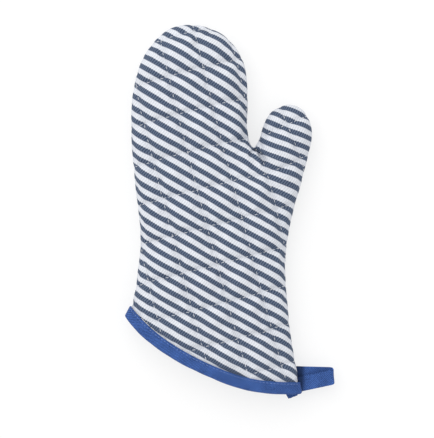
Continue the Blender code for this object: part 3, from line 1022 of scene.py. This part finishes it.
    def wrinkles(self) -> Points:
        """The small folds that gather at the crotch."""
        away = self.net.places - self.pattern.crotch
        total = np.zeros(len(away))
        for way, length, depth in self.creases:
            way = np.array(way) / np.linalg.norm(way)
            down = away @ way
            width = self.crease_width * (1 + np.maximum(down, 0) / length)
            off = np.abs(away @ np.array([-way[1], way[0]])) / width
            fade = smoothstep(*self.crease_start, down) * (1 - smoothstep(self.crease_full * length, length, down))
            ridge = self.ridge * np.exp(-((off - self.ridge_place) ** 2))
            total += fade * depth * (ridge - np.exp(-(off**2)))
        return total

    def creased(self, points: Points) -> Points:
        """The net's points with the crotch's creases pressed into them."""
        return points + self.wrinkles()[:, None] * np.array([0.0, 0.0, self.half.value])

    def cuff_pull(self) -> Points:
        """How far the binding draws the cover in near the cuff."""
        return self.cuff_draw * (1 - smoothstep(*self.cuff_fade, self.net.from_cuff))

    def build_cover(self) -> Piece:
        """The whole cover, quilted and relaxed, with its cloth points in its UV map."""
        smooth = self.shape(0.0)
        cloth = self.skewed(self.drawn(self.eased_thumb(self.cloth_points())))
        self.cloth_at = cloth
        inward = self.pattern.seam_pull * np.exp(-self.net.depths / self.seam_reach)
        lift = self.relief(cloth) - self.cuff_pull() - inward
        shaped = self.creased(smooth + lift[:, None] * self.normal)
        cover = piece_from(f"{self.half.word}_cover_whole", shaped, self.faces_out())
        write_uv(cover, cloth)
        self._relax(cover, shaped)
        self._rest_on_table(cover)
        self.outer = coordinates(cover)
        subdivide(cover)
        return cover

    def _relax(self, cover: Piece, shaped: Points) -> None:
        """Lets the cloth settle between its stitches by a cloth simulation."""
        p, q = self.grid.off_line(self.cloth_at)
        near = self.stitch_near * self.net.spacing
        stitched = (np.abs(p) < near) | (np.abs(q) < near)
        held = stitched | self.net.on_rim | (self.net.from_cuff < self.pattern.binding_width)
        group = cover.vertex_groups.new(name="held")
        group.add([int(k) for k in np.flatnonzero(held)], 1.0, "REPLACE")
        made = cover.modifiers.new("cloth", "CLOTH")
        for key, value in SETTLING.items():
            setattr(made.settings, key, value)
        made.settings.effector_weights.gravity = 0.0
        made.collision_settings.use_collision = False
        made.point_cache.frame_start = 1
        made.point_cache.frame_end = self.frames
        scene = bpy.context.scene
        for frame_number in range(1, self.frames + 1):
            scene.frame_set(frame_number)
        finish_modifiers(cover)
        scene.frame_set(1)
        moved = coordinates(cover) - shaped
        length = np.linalg.norm(moved, axis=1, keepdims=True)
        moved *= np.minimum(1.0, self.cap / np.maximum(length, 1e-9))
        place(cover, shaped + moved)
        cover.vertex_groups.clear()

    def _rest_on_table(self, cover: Piece) -> None:
        """Flattens whatever would go below the table."""
        if self.half is Half.BACK:
            keep_above(cover, self.rest)

    def clear_of_binding(self, path: Points) -> Points:
        """Whether each point of a path lies on the cover above the cuff's binding."""
        edge = self.pattern.cuff(self.pattern.binding_width + self.stitch_clear, self.net.edge_step)
        above = np.interp(path[:, 0], edge[:, 0], edge[:, 1])
        return path[:, 1] > above

    def depth_of_wall(self, full: float) -> Points:
        """How deep the inner face of a layer lies, drawn thinner where the binding grips it."""
        thin = full * self.cuff_wall / self.wall
        return thin + (full - thin) * smoothstep(*self.wall_fade, self.net.from_cuff)

    def faces_out(self) -> list:
        """The net's triangles, turned to face out of the mitt."""
        return self.net.faces if self.half is Half.FRONT else [face[::-1] for face in self.net.faces]

    def build_wadding(self) -> Piece:
        """The wadding, a closed pad between the cover and the lining."""
        outer = self.outer - self.normal * (self.cloth + self.slack)
        depth = self.depth_of_wall(self.wall - self.lining_cloth - self.lining_gap)
        inner = self.creased(self.shape(depth))
        count = len(outer)
        faces = self.faces_out()
        under = [tuple(k + count for k in face[::-1]) for face in faces]
        seen = dict.fromkeys(pair for face in faces for pair in zip(face, face[1:] + face[:1]))
        walls = [(b, a, a + count, b + count) for a, b in seen if (b, a) not in seen]
        made = piece_from(f"{self.half.word}_batting_whole", np.concatenate([outer, inner]),
                          [*faces, *under, *walls])
        write_uv(made, np.concatenate([self.cloth_at, self.cloth_at]))
        return made

    def build_lining(self) -> Piece:
        """The lining's cloth, facing the same way as the cover."""
        depth = self.depth_of_wall(self.wall - self.lining_cloth)
        points = self.creased(self.shape(depth))
        made = piece_from(f"{self.half.word}_lining_whole", points, self.faces_out())
        write_uv(made, self.cloth_at)
        return made


def parted(whole: Piece, pattern: Pattern, name: str) -> dict[Panel, Piece]:
    """Parts a whole layer into its hand panel and its thumb panel, along the thumb's fold line.

    Args:
        whole: the layer.
        pattern: the pattern that holds the fold line.
        name: what the panels' names start with.

    Returns:
        The two panels.
    """
    made = {}
    for panel in Panel:
        piece = copy_of(whole, f"{name}_{panel.value}")
        mesh = bmesh.new()
        mesh.from_mesh(piece.data)
        top = pattern.crotch[1] + FOLD_MARGIN
        low = [face for face in mesh.faces if face.calc_center_median().y < top]
        edges = {edge for face in low for edge in face.edges}
        corners = {corner for face in low for corner in face.verts}
        bmesh.ops.bisect_plane(mesh, geom=[*corners, *edges, *low], dist=1e-6,
                               plane_co=(*pattern.crotch, 0.0), plane_no=(*pattern.fold_out, 0.0))
        faces = list(mesh.faces)
        centres = np.array([face.calc_center_median()[:2] for face in faces])
        wanted = pattern.on_thumb(centres) == (panel is Panel.THUMB)
        lost = [face for face, keep in zip(faces, wanted) if not keep]
        bmesh.ops.delete(mesh, geom=lost, context="FACES")
        mesh.to_mesh(piece.data)
        mesh.free()
        made[panel] = piece
    return made


def keep_shading(piece: Piece, whole: Piece, pattern: Pattern) -> None:
    """Gives the piece's outer face the whole layer's shading along the cut, so that no line shows there.

    Args:
        piece: a panel with its wall.
        whole: the layer that it was parted from.
        pattern: the pattern that holds the fold line.
    """
    whole_points, whole_normals = coordinates(whole), normals(whole)
    polygons = [tuple(face.vertices) for face in whole.data.polygons]
    tree = BVHTree.FromPolygons(whole_points.tolist(), polygons)
    data = piece.data
    points = coordinates(piece)
    below = points[:, 1] < pattern.crotch[1] + FOLD_MARGIN
    near_cut = (np.abs(pattern.beyond_fold(points)) < NEAR_CUT) & below
    smooth = {}
    for vertex in np.flatnonzero(near_cut):
        _, _, face, distance = tree.find_nearest(points[vertex])
        if distance < ON_SURFACE:
            corners = list(polygons[face])
            weight = 1 / (np.linalg.norm(whole_points[corners] - points[vertex], axis=1) ** 2 + 1e-9)
            normal = (whole_normals[corners] * weight[:, None]).sum(axis=0)
            smooth[int(vertex)] = normal / np.linalg.norm(normal)
    wanted = [(0.0, 0.0, 0.0)] * len(data.loops)
    corner_normals = data.corner_normals
    same_way = 0.5
    for loop in data.loops:
        normal = smooth.get(loop.vertex_index)
        if normal is not None and np.dot(normal, corner_normals[loop.index].vector) > same_way:
            wanted[loop.index] = tuple(normal)
    data.normals_split_custom_set(wanted)


# ---- Stitching -----------------------------------------------------------------------------------


@dataclass
class Stitching:
    """Sewing thread: a running stitch whose every stitch stands a little proud of the cloth."""

    length: float = 0.0031
    gap: float = 0.0013
    radius: float = 0.00027
    stand: float = 0.00030
    sides: int = 5
    lifts: tuple = (-0.9, 0.7, 1.0, 0.7, -0.9)
    girths: tuple = (0.55, 0.95, 1.0, 0.95, 0.55)
    points: list = field(default_factory=list)
    faces: list = field(default_factory=list)
    cloth: list = field(default_factory=list)

    def run(self, path: Points, facing: Points, keep: Points | None = None) -> None:
        """Sews along a path.

        Args:
            path: points close together along the line.
            facing: the cloth's outward normals there.
            keep: whether a stitch may lie at each point.
        """
        along = distances(path)
        start = self.gap / 2
        while start + self.length < along[-1]:
            stations = np.linspace(start, start + self.length, len(self.lifts))
            middle = int(np.searchsorted(along, stations[len(stations) // 2]))
            if keep is None or keep[min(middle, len(keep) - 1)]:
                self._stitch(read_at(stations, along, path), read_at(stations, along, facing))
            start += self.length + self.gap

    def _stitch(self, path: Points, facing: Points) -> None:
        """One stitch, a short rod that dips into the cloth at both ends."""
        facing = facing / np.linalg.norm(facing, axis=1, keepdims=True)
        forward = np.gradient(path, axis=0)
        forward /= np.linalg.norm(forward, axis=1, keepdims=True)
        side = np.cross(forward, facing)
        lift = np.array(self.lifts) * self.stand
        girth = np.array(self.girths) * self.radius
        first, last = len(self.points), len(self.lifts) - 1
        for k in range(last + 1):
            middle = path[k] + facing[k] * lift[k]
            for turn in range(self.sides):
                angle = 2 * math.pi * turn / self.sides
                out = math.cos(angle) * facing[k] + math.sin(angle) * side[k]
                self.points.append(middle + girth[k] * out)
                self.cloth.append((k * self.length / last, angle * self.radius))
        for k in range(last):
            for turn in range(self.sides):
                after = (turn + 1) % self.sides
                a, b = first + k * self.sides, first + (k + 1) * self.sides
                self.faces.append((a + turn, b + turn, b + after, a + after))
        self.faces.append(tuple(first + k for k in range(self.sides)))
        self.faces.append(tuple(first + last * self.sides + k for k in reversed(range(self.sides))))

    def piece(self, name: str) -> Piece:
        """All the stitches so far as one piece."""
        made = piece_from(name, np.array(self.points), self.faces)
        write_uv(made, np.array(self.cloth))
        return made


class ClothMap:
    """Finds the place in space of any point of a cloth, from the piece's UV map."""

    def __init__(self, piece: Piece) -> None:
        """Reads the piece, whose faces are first made triangles."""
        mesh = bmesh.new()
        mesh.from_mesh(piece.data)
        bmesh.ops.triangulate(mesh, faces=mesh.faces)
        triangles = bpy.data.meshes.new("map")
        mesh.to_mesh(triangles)
        mesh.free()
        holder = bpy.data.objects.new("map", triangles)
        self.cloth = vertex_uv(holder)
        self.points = coordinates(holder)
        self.normals = normals(holder)
        self.faces = [tuple(face.vertices) for face in triangles.polygons]
        bpy.data.objects.remove(holder)
        flat = [(float(u), float(v), 0.0) for u, v in self.cloth]
        self.tree = BVHTree.FromPolygons(flat, self.faces)

    def find(self, u: float, v: float) -> tuple[Points, Points] | None:
        """The place and the normal of a cloth point, or None where there is no cloth."""
        found, _, face, distance = self.tree.find_nearest((u, v, 0.0))
        if distance is None or distance > ON_CLOTH:
            return None
        corners = list(self.faces[face])
        flat = [Vector((*self.cloth[k], 0.0)) for k in corners]
        there = barycentric_transform(found, *flat, *[Vector(self.points[k]) for k in corners])
        facing = barycentric_transform(found, *flat, *[Vector(self.normals[k]) for k in corners])
        return np.array(there), np.array(facing)


def quilting_runs(cloth_map: ClothMap, grid: QuiltGrid) -> list[tuple[Points, Points]]:
    """Follows every line of quilting over the cloth.

    Args:
        cloth_map: the cover's cloth.
        grid: the quilting's squares.

    Returns:
        A path and its normals for each unbroken run.
    """
    across, along = grid.squares(cloth_map.cloth)
    runs = []
    for family, span, other, size in ((0, across, along, grid.along), (1, along, across, grid.across)):
        for line in range(math.ceil(span.min()), math.floor(span.max()) + 1):
            stations = np.arange(other.min(), other.max(), RUN_STEP / size)
            fixed = np.full(len(stations), float(line))
            pair = (fixed, stations) if family == 0 else (stations, fixed)
            run = []
            for found in [*(cloth_map.find(u, v) for u, v in grid.cloth(*pair)), None]:
                if found is not None:
                    run.append(found)
                    continue
                if len(run) > RUN_POINTS:
                    runs.append(tuple(np.array(part) for part in zip(*run)))
                run = []
    return runs


# ---- Tape ----------------------------------------------------------------------------------------


def grid_faces(rows: int, columns: int) -> list:
    """The faces of a grid of rows by columns."""
    faces = []
    for row in range(rows - 1):
        for column in range(columns - 1):
            a, b = row * columns + column, (row + 1) * columns + column
            faces.append((a, a + 1, b + 1, b))
    return faces


@dataclass
class CuffBinding:
    """The blue tape folded over the raw edge of the cuff, and the row of stitches that holds it."""

    pattern: Pattern
    depth_field: DepthField
    stand: float = 0.0010
    wall: float = 0.0032
    inner_gap: float = 0.0010
    turn: float = 0.0023
    stations: int = 96
    tape: float = 0.0008
    end_fade: float = 0.016
    basting: tuple = (0.10, 0.52)
    basting_gap: float = 0.0005
    basting_stand: float = 0.0003
    stitch_row: float = 0.0093
    stitch_short: float = 0.001
    path_step: float = 0.0007
    fine_step: float = 0.0005
    rest: float = 0.0006
    crowding: float = 0.55
    seam_fade: float = 0.012
    off_seam: float = 1e-5
    end_way: tuple = (1.0, 0.12)
    back_lift: float = 0.0011
    back_level: float = 0.0012
    waves: float = 0.00022
    puckers: float = 0.00010
    pucker_share: float = 0.3
    outer_rows: int = 8
    inner_rows: int = 7
    turn_rows: int = 9
    inner_short: float = 0.001

    def __post_init__(self) -> None:
        """Places the stations along the cuff, closer together at both ends."""
        share = np.linspace(0.0, 1.0, self.stations)
        eased = 0.5 - 0.5 * np.cos(math.pi * share)
        share = self.crowding * eased + (1 - self.crowding) * share
        line = smooth_line(self.pattern.cuff_edge, self.fine_step)
        lengths = distances(line)
        self.total = lengths[-1]
        self.along = share * self.total
        self.edge = read_at(self.along, lengths, line)
        self.up = read_at(self.along, lengths, left_of(line))
        width = self.pattern.binding_width
        for end, (rim_up, near) in self.ends(width).items():
            way = (rim_up - self.edge[end]) / width
            weight = (1 - smoothstep(0.0, self.end_fade, near))[:, None]
            self.up = self.up * (1 - weight) + way * weight

    def ends(self, up: float) -> dict[int, tuple[Points, Points]]:
        """For each end of the cuff: the side seam's place that far up, and each station's distance."""
        rim = self.pattern.rim(self.fine_step)
        run = distances(rim)
        left, right = read_at(np.array([up, run[-1] - up]), run, rim)
        return {0: (left, self.along), -1: (right, self.total - self.along)}

    def surface(self, half: Half, up: float, sunk: float) -> Points:
        """One row of points round one half of the cuff.

        Args:
            half: which half.
            up: how far up from the cuff's edge.
            sunk: how far inside the cover's smooth surface.

        Returns:
            A point for each station.
        """
        places = self.edge + self.up * up
        looked = places.copy()
        for end, (rim_up, near) in self.ends(up).items():
            looked += (1 - smoothstep(0.0, self.seam_fade, near))[:, None] * (rim_up - places[end])
        depths, slopes = self.depth_field.read(looked + self.off_seam)
        on_seam = np.zeros(len(places), bool)
        on_seam[[0, -1]] = True
        inward = np.array(self.end_way) / np.linalg.norm(self.end_way)
        slopes[0], slopes[-1] = inward, -inward
        points, facing = self.pattern.inflated(half, places, depths, slopes, on_seam)
        if half is Half.BACK:
            points[:, 2] += self.back_lift * (points[:, 2] < self.back_level)
        return points - facing * sunk

    def profile(self, half: Half) -> list[Points]:
        """The rows of one half, from the outer leg's free edge, over the turn, to the inner leg's."""
        width = self.pattern.binding_width
        over = np.linspace(width, self.turn, self.outer_rows)
        outer = [self.surface(half, up, -self.stand) for up in over]
        under = np.linspace(self.turn, width - self.inner_short, self.inner_rows)
        inner = [self.surface(half, up, self.wall + self.inner_gap) for up in under]
        down = self.surface(half, 0.0, self.wall / 2) - self.surface(half, self.turn, self.wall / 2)
        middle = (outer[-1] + inner[0]) / 2
        reach = (outer[-1] - inner[0]) / 2
        bend = []
        for angle in np.linspace(0, math.pi, self.turn_rows)[1:-1]:
            bend.append(middle + reach * math.cos(angle) + down * math.sin(angle))
        return [*outer, *bend, *inner]

    def build(self) -> tuple[Piece, Piece, Piece]:
        """The tape, its stitches and the pale basting thread above it."""
        front, back = self.profile(Half.FRONT), self.profile(Half.BACK)
        rows = [np.concatenate([f, b[-2::-1]]) for f, b in zip(front, back)]
        around = np.concatenate([self.along, (2 * self.total - self.along)[-2::-1]])
        count = len(around)
        points = np.concatenate(rows)
        widths = np.concatenate([[0.0], np.cumsum([
            np.linalg.norm(b - a, axis=1).mean() for a, b in zip(rows, rows[1:])])])
        cloth = np.array([(a, w) for w in widths for a in around])
        ripple = wander(cloth, scale=0.020, seed=11) * self.waves
        ripple += wander(cloth * (1.0, self.pucker_share), scale=0.007, seed=12) * self.puckers
        tape = piece_from("cuff_tape", points, [face[::-1] for face in grid_faces(len(rows), count)])
        write_uv(tape, cloth)
        place(tape, rippled(tape, ripple))
        keep_above(tape, self.rest)
        subdivide(tape)
        keep_above(tape, self.rest)
        stitches = Stitching(length=0.0023, gap=0.0010, radius=0.00026, stand=0.00034)
        cloth_map = ClothMap(tape)
        up = self.pattern.binding_width - self.stitch_row
        short = self.stitch_short
        for low, high in ((short, self.total - short), (self.total + short, around.max() - short)):
            found = [cloth_map.find(a, up) for a in np.arange(low, high, self.path_step)]
            found = [pair for pair in found if pair is not None]
            path, facing = (np.array(part) for part in zip(*found))
            stitches.run(path, facing)
        first, last = (round(share * self.stations) for share in self.basting)
        path = self.surface(Half.FRONT, self.pattern.binding_width + self.basting_gap, -self.basting_stand)
        path = resampled(path[first:last], self.path_step)
        basting = Stitching(length=0.0055, gap=0.0005, radius=0.00026, stand=0.0)
        basting.run(path, np.broadcast_to(np.array([0.0, 0.0, 1.0]), path.shape))
        thicken(tape, self.tape)
        return tape, stitches.piece("cuff_tape_stitches"), basting.piece("cuff_basting")


@dataclass
class HangingLoop:
    """The loop of tape at the thumb's end of the cuff, with one leg fanned over the other."""

    root: tuple = (0.0705, -0.1440)
    tip: float = 0.1038
    seam_height: float = 0.016
    width: float = 0.0130
    leg_gap: float = 0.0009
    bend: float = 0.0019
    upper_way: float = math.radians(12.3)
    under_way: float = math.radians(-1.9)
    upper_tip: float = -0.1421
    under_tip: float = -0.1397
    tape: float = 0.0011
    across: int = 9
    leg_rows: int = 16
    tip_rows: int = 13
    lift_from: float = 0.15
    corner: float = 0.3
    cup: float = 0.0003
    ripple: float = 0.00025

    def build(self) -> Piece:
        """The loop, with the root of both legs inside the side seam."""
        straight = self.tip - self.bend
        rows = []
        outs = np.linspace(self.root[0], straight, self.leg_rows)
        share = (outs - self.root[0]) / (straight - self.root[0])
        lift = self.leg_gap + (self.bend - self.leg_gap) * smoothstep(self.lift_from, 1.0, share)
        for out, rise in zip(outs, lift):
            middle = self.upper_tip + (out - straight) * math.tan(self.upper_way)
            rows.append(self._row(out, middle, rise, self.upper_way))
        for angle in np.linspace(math.pi / 2, -math.pi / 2, self.tip_rows)[1:-1]:
            part = 0.5 - 0.5 * math.sin(angle)
            out = straight + self.bend * math.cos(angle)
            middle = self.upper_tip + (self.under_tip - self.upper_tip) * part
            way = self.upper_way + (self.under_way - self.upper_way) * part
            taper = self.corner * (1 - abs(math.sin(angle)))
            rows.append(self._row(out, middle, self.bend * math.sin(angle), way, taper))
        for out, rise in zip(outs[::-1], lift[::-1]):
            middle = self.under_tip + (out - straight) * math.tan(self.under_way)
            rows.append(self._row(out, middle, -rise, self.under_way))
        lengths = distances(np.array([row[self.across // 2] for row in rows]))
        side = np.linspace(-self.width / 2, self.width / 2, self.across)
        cloth = np.array([(a, b) for a in lengths for b in side])
        loop = piece_from("loop_tape", np.concatenate(rows), grid_faces(len(rows), self.across))
        write_uv(loop, cloth)
        place(loop, rippled(loop, wander(cloth, scale=0.012, seed=21) * self.ripple))
        subdivide(loop)
        thicken(loop, self.tape)
        return loop

    def _row(self, out: float, middle: float, lift: float, way: float, taper: float = 0.0) -> Points:
        """One row of points across the tape, drawn in by taper at its edges."""
        side = np.linspace(-1.0, 1.0, self.across)
        across = side * self.width / 2 * (1 - taper)
        cup = self.cup * side**2 * (1 if lift > 0 else -1)
        return np.column_stack([
            out - across * math.sin(way), middle + across * math.cos(way), self.seam_height + lift - cup])


@dataclass
class TapeEnd:
    """The raw end of the loop's tape, which pokes out below the corner of the cuff."""

    corners: tuple = ((0.0602, -0.1540), (0.0640, -0.1611), (0.0722, -0.1583), (0.0736, -0.1540))
    height: float = 0.016
    thickness: float = 0.0010
    columns: int = 12
    rows: int = 8
    ragged: float = 0.05
    wave: float = 0.0004
    wave_over: int = 4
    wave_down: int = 2
    seed: int = 31

    def build(self) -> Piece:
        """The end, with its cut threads slightly ragged."""
        top_left, low_left, low_right, top_right = (np.array(corner) for corner in self.corners)
        points, cloth = [], []
        draws = np.random.default_rng(self.seed)
        for down in np.linspace(0.0, 1.0, self.rows):
            for over in np.linspace(0.0, 1.0, self.columns):
                upper = top_left + (top_right - top_left) * over
                lower = low_left + (low_right - low_left) * over
                ragged = draws.uniform(-self.ragged, self.ragged) if down == 1.0 else 0.0
                spot = upper + (lower - upper) * (down + ragged)
                wave = self.wave * math.sin(self.wave_over * over + self.wave_down * down)
                points.append((*spot, self.height + wave))
                cloth.append(spot)
        end = piece_from("tape_end", np.array(points), grid_faces(self.rows, self.columns))
        write_uv(end, np.array(cloth))
        subdivide(end)
        thicken(end, self.thickness)
        return end


@dataclass
class SeamAllowance:
    """The sewn edges of both halves, a narrow frill on the inside of the side seam."""

    net: Net
    pattern: Pattern
    start: float = 0.0012
    width: float = 0.0046
    thickness: float = 0.0010
    wave: float = 0.0006
    ends: tuple = (2, -6)
    rows: int = 5
    wave_run: float = 0.0035
    wave_drift: float = 0.021
    wave_sway: float = 1.5

    def build(self) -> Piece:
        """The whole allowance as one open ribbon."""
        rim = self.pattern.rim(self.net.rim_step)[slice(*self.ends)]
        inward = -left_of(rim)
        rows = []
        along = np.arange(len(rim)) * self.net.rim_step
        for share in np.linspace(0.0, 1.0, self.rows):
            flat = rim + inward * (self.start + self.width * share)
            phase = along / self.wave_run + self.wave_sway * np.sin(along / self.wave_drift)
            rise = self.wave * share * np.sin(phase)
            rows.append(np.column_stack([flat, self.pattern.seam_height + rise]))
        cloth = np.array([(a, w) for w in np.linspace(0, self.width, self.rows) for a in along])
        made = piece_from("seam_allowance_whole", np.concatenate(rows), grid_faces(self.rows, len(rim)))
        write_uv(made, cloth)
        return made


# ---- The whole mitt ------------------------------------------------------------------------------


@dataclass(frozen=True)
class Finishes:
    """The mitt's finished materials."""

    ticking: Material
    wadding: Material
    lining: Material
    tape: Material
    loop: Material
    thread: Material
    tape_thread: Material
    seam: Material


def make_finishes() -> Finishes:
    """Builds the shared groups and every finish."""
    groups = ClothGroups(weave_group(), fuzz_group())
    yarn = {"groups": groups, "thread": 0.0003, "twill": 1.0, "slub": 0.2, "lint": 0.0, "relief": 0.00004}
    # The tape's weave hollows get strong painted shade.
    tape = {"colour": linear(66, 99, 166), "groups": groups, "thread": 0.0008, "twill": 0.8, "slub": 2.6,
            "lint": 0.25, "lint_colour": linear(95, 125, 190), "hollow_shade": 0.36, "relief": 0.00022, "sheen": 0.05,
            "shine": 0.1}
    return Finishes(
        ticking=TickingFinish("ticking cotton", linear(68, 84, 110), groups, pale=linear(213, 216, 223),
                              thread=0.00104, twill=-0.12, lint_colour=linear(205, 210, 220), sheen=0.03,
                              roughness=0.95, shine=0.1).material(),
        wadding=ClothFinish("cotton wadding", linear(238, 236, 228), groups, thread=0.004, twill=0.1,
                            slub=0.3, lint=0.4, relief=0.0006).material(),
        lining=ClothFinish("lining cotton", linear(232, 230, 222), groups, thread=0.0006, twill=0.0,
                           lint=0.1).material(),
        tape=ClothFinish("blue cotton tape", **tape).material(),
        # Painted shade at the loop's root, where it tucks in between the two halves.
        loop=LoopShadeFinish("blue cotton tape, shaded", **tape).material(),
        thread=ClothFinish("sewing thread", linear(232, 235, 241), **yarn).material(),
        tape_thread=ClothFinish("blue sewing thread", linear(108, 138, 198), **yarn).material(),
        seam=ClothFinish("overlocked edge", linear(214, 218, 226), groups, thread=0.0010, twill=0.4,
                         slub=0.6, lint=0.3).material(),
    )


@dataclass
class OvenMitt:
    """The whole mitt, and how its pieces ride on the frame's bodies."""

    pattern: Pattern
    grid: QuiltGrid
    finishes: Finishes
    knuckle_start: float = 0.072
    knuckle_end: float = 0.112
    thumb_reach: float = 0.030
    loop_start: float = 0.0750
    loop_end: float = 0.0830

    def bend(self, piece: Piece, panel: Panel) -> None:
        """Bakes the panel's transform into its mesh, whichever panel it is."""
        if panel is Panel.HAND:
            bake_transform(piece)
            return
        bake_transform(piece)

    def fit(self, piece: Piece, finish: Material, half: Half, layer: str,
            panel: Panel) -> None:
        """Dresses a panel of one layer, hides the frame's nodes that it stands for, and bakes its transform."""
        dress(piece, finish)
        bodies = ["palm", "fingers"] if panel is Panel.HAND else ["thumb"]
        if half is Half.FRONT:
            bodies.append("knuckle_fold" if panel is Panel.HAND else "thumb_fold")
        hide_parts(*[f"{half.word}_{layer}_{body}" for body in bodies])
        self.bend(piece, panel)

    @staticmethod
    def declare_sheet(piece: Piece, held: str, rests_on: list, with_pieces: list) -> None:
        """Reads the panel's cloth points, and does nothing more with them."""
        cloth = vertex_uv(piece)

    def build_half(self, half: Half, net: Net) -> None:
        """Makes the cover, quilting, wadding and lining of one half."""
        quilted = QuiltedHalf(half, net, self.pattern, self.grid)
        cover = quilted.build_cover()
        covers = parted(cover, self.pattern, f"{half.word}_ticking")
        threads = {}
        for panel, piece in covers.items():
            sewn = Stitching()
            for path, facing in quilting_runs(ClothMap(piece), self.grid):
                sewn.run(path, facing, quilted.clear_of_binding(path))
            thicken(piece, quilted.cloth)
            keep_shading(piece, cover, self.pattern)
            self.fit(piece, self.finishes.ticking, half, "cover", panel)
            threads[panel] = sewn.piece(f"{half.word}_quilting_{panel.value}")
            dress(threads[panel], self.finishes.thread)
            self.bend(threads[panel], panel)
        bpy.data.objects.remove(cover)
        layers = {}
        for name, whole in (("batting", quilted.build_wadding()), ("lining_cloth", quilted.build_lining())):
            layers[name] = parted(whole, self.pattern, f"{half.word}_{name}")
            bpy.data.objects.remove(whole)
        for panel in Panel:
            batting, lining = layers["batting"][panel], layers["lining_cloth"][panel]
            self.fit(batting, self.finishes.wadding, half, "wadding", panel)
            thicken(lining, quilted.lining_cloth)
            self.fit(lining, self.finishes.lining, half, "lining", panel)
            self.declare_sheet(covers[panel], "stretched", [batting.name], [threads[panel]])
            self.declare_sheet(lining, "stretched", [batting.name], [])

    def build_seams(self, net: Net) -> None:
        """Makes the sewn edges inside the side seam."""
        whole = SeamAllowance(net, self.pattern).build()
        made = parted(whole, self.pattern, "overlocked_edge")
        stood_for = {
            Panel.HAND: ("seam_little_finger_side", "seam_fingertips", "seam_index_side"),
            Panel.THUMB: ("seam_thumb", "seam_wrist"),
        }
        for panel, piece in made.items():
            thicken(piece, SeamAllowance.thickness)
            dress(piece, self.finishes.seam)
            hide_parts(*stood_for[panel])
            self.bend(piece, panel)
        bpy.data.objects.remove(whole)

    def build_tapes(self) -> None:
        """Makes the cuff's binding, the hanging loop and the loop's raw end."""
        binding, stitches, basting = CuffBinding(self.pattern, DepthField(self.pattern)).build()
        loop = HangingLoop().build()
        end = TapeEnd().build()
        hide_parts("cuff_binding")
        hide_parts("hanging_loop")
        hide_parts("loop_tab")
        worn = ((binding, self.finishes.tape), (stitches, self.finishes.tape_thread),
                (basting, self.finishes.thread), (end, self.finishes.tape))
        for piece, finish in worn:
            dress(piece, finish)
            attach(piece, "palm")
        dress(loop, self.finishes.loop)
        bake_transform(loop)
        self.declare_sheet(binding, "stretched", ["front_ticking_hand"], [stitches, basting])
        self.declare_sheet(loop, "folded", [], [])

    def build(self) -> None:
        """Makes every piece of the mitt."""
        net = Net(self.pattern, self.grid)
        for half in Half:
            self.build_half(half, net)
        self.build_seams(net)
        self.build_tapes()


# ---- Studio --------------------------------------------------------------------------------------


@dataclass(frozen=True)
class Studio:
    """A white table under soft light, seen from straight above."""

    camera_height: float = 1.5
    field_width: float = 0.3893
    sensor: float = 36.0
    world_light: float = 0.96
    lamp_size: float = 1.8
    lamp_height: float = 1.5
    lamp_power: float = 16.0
    lamp_over: tuple = (-0.7, 0.9)
    table: float = 0.97
    table_size: float = 12.0
    table_roughness: float = 0.9
    table_shine: float = 0.1
    glow: float = 0.7

    def build(self, level: float) -> None:
        """Sets up the floor, the light and the camera.

        Args:
            level: the height that the camera's field is measured at.
        """
        deselect()
        bpy.ops.mesh.primitive_plane_add(size=self.table_size, location=(0, 0, 0))
        floor = bpy.context.active_object
        floor.name = "table"
        paint = bpy.data.materials.new("white table")
        paint.use_nodes = True
        shader = paint.node_tree.nodes["Principled BSDF"]
        shader.inputs["Base Color"].default_value = (*[self.table * (1 - self.glow)] * 3, 1.0)
        shader.inputs["Emission Color"].default_value = (1.0, 1.0, 1.0, 1.0)
        shader.inputs["Emission Strength"].default_value = self.table * self.glow
        shader.inputs["Roughness"].default_value = self.table_roughness
        shader.inputs["Specular IOR Level"].default_value = self.table_shine
        floor.data.materials.append(paint)
        lamp_data = bpy.data.lights.new("softbox", "AREA")
        lamp_data.shape = "SQUARE"
        lamp_data.size = self.lamp_size
        lamp_data.energy = self.lamp_power
        lamp = bpy.data.objects.new("softbox", lamp_data)
        lamp.location = (*self.lamp_over, self.lamp_height)
        lamp.rotation_euler = lamp.location.to_track_quat("Z", "Y").to_euler()
        bpy.context.scene.collection.objects.link(lamp)
        world = bpy.data.worlds.new("white room")
        world.use_nodes = True
        world.node_tree.nodes["Background"].inputs["Color"].default_value = (1.0, 1.0, 1.0, 1.0)
        world.node_tree.nodes["Background"].inputs["Strength"].default_value = self.world_light
        bpy.context.scene.world = world
        bpy.context.scene.view_settings.view_transform = "Standard"
        camera_data = bpy.data.cameras.new("camera")
        camera_data.sensor_fit = "HORIZONTAL"
        camera_data.sensor_width = self.sensor
        camera_data.lens = self.sensor * self.camera_height / self.field_width
        camera = bpy.data.objects.new("camera", camera_data)
        camera.location = (0.0, 0.0, level + self.camera_height)
        bpy.context.scene.collection.objects.link(camera)
        bpy.context.scene.camera = camera


def main() -> None:
    """Builds the mitt and the studio."""
    logging.basicConfig(level=logging.INFO, format="%(name)s: %(message)s")
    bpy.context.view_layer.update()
    pattern = Pattern()
    OvenMitt(pattern, QuiltGrid(), make_finishes()).build()
    Studio().build(pattern.seam_height)


if __name__ == "__main__":
    main()
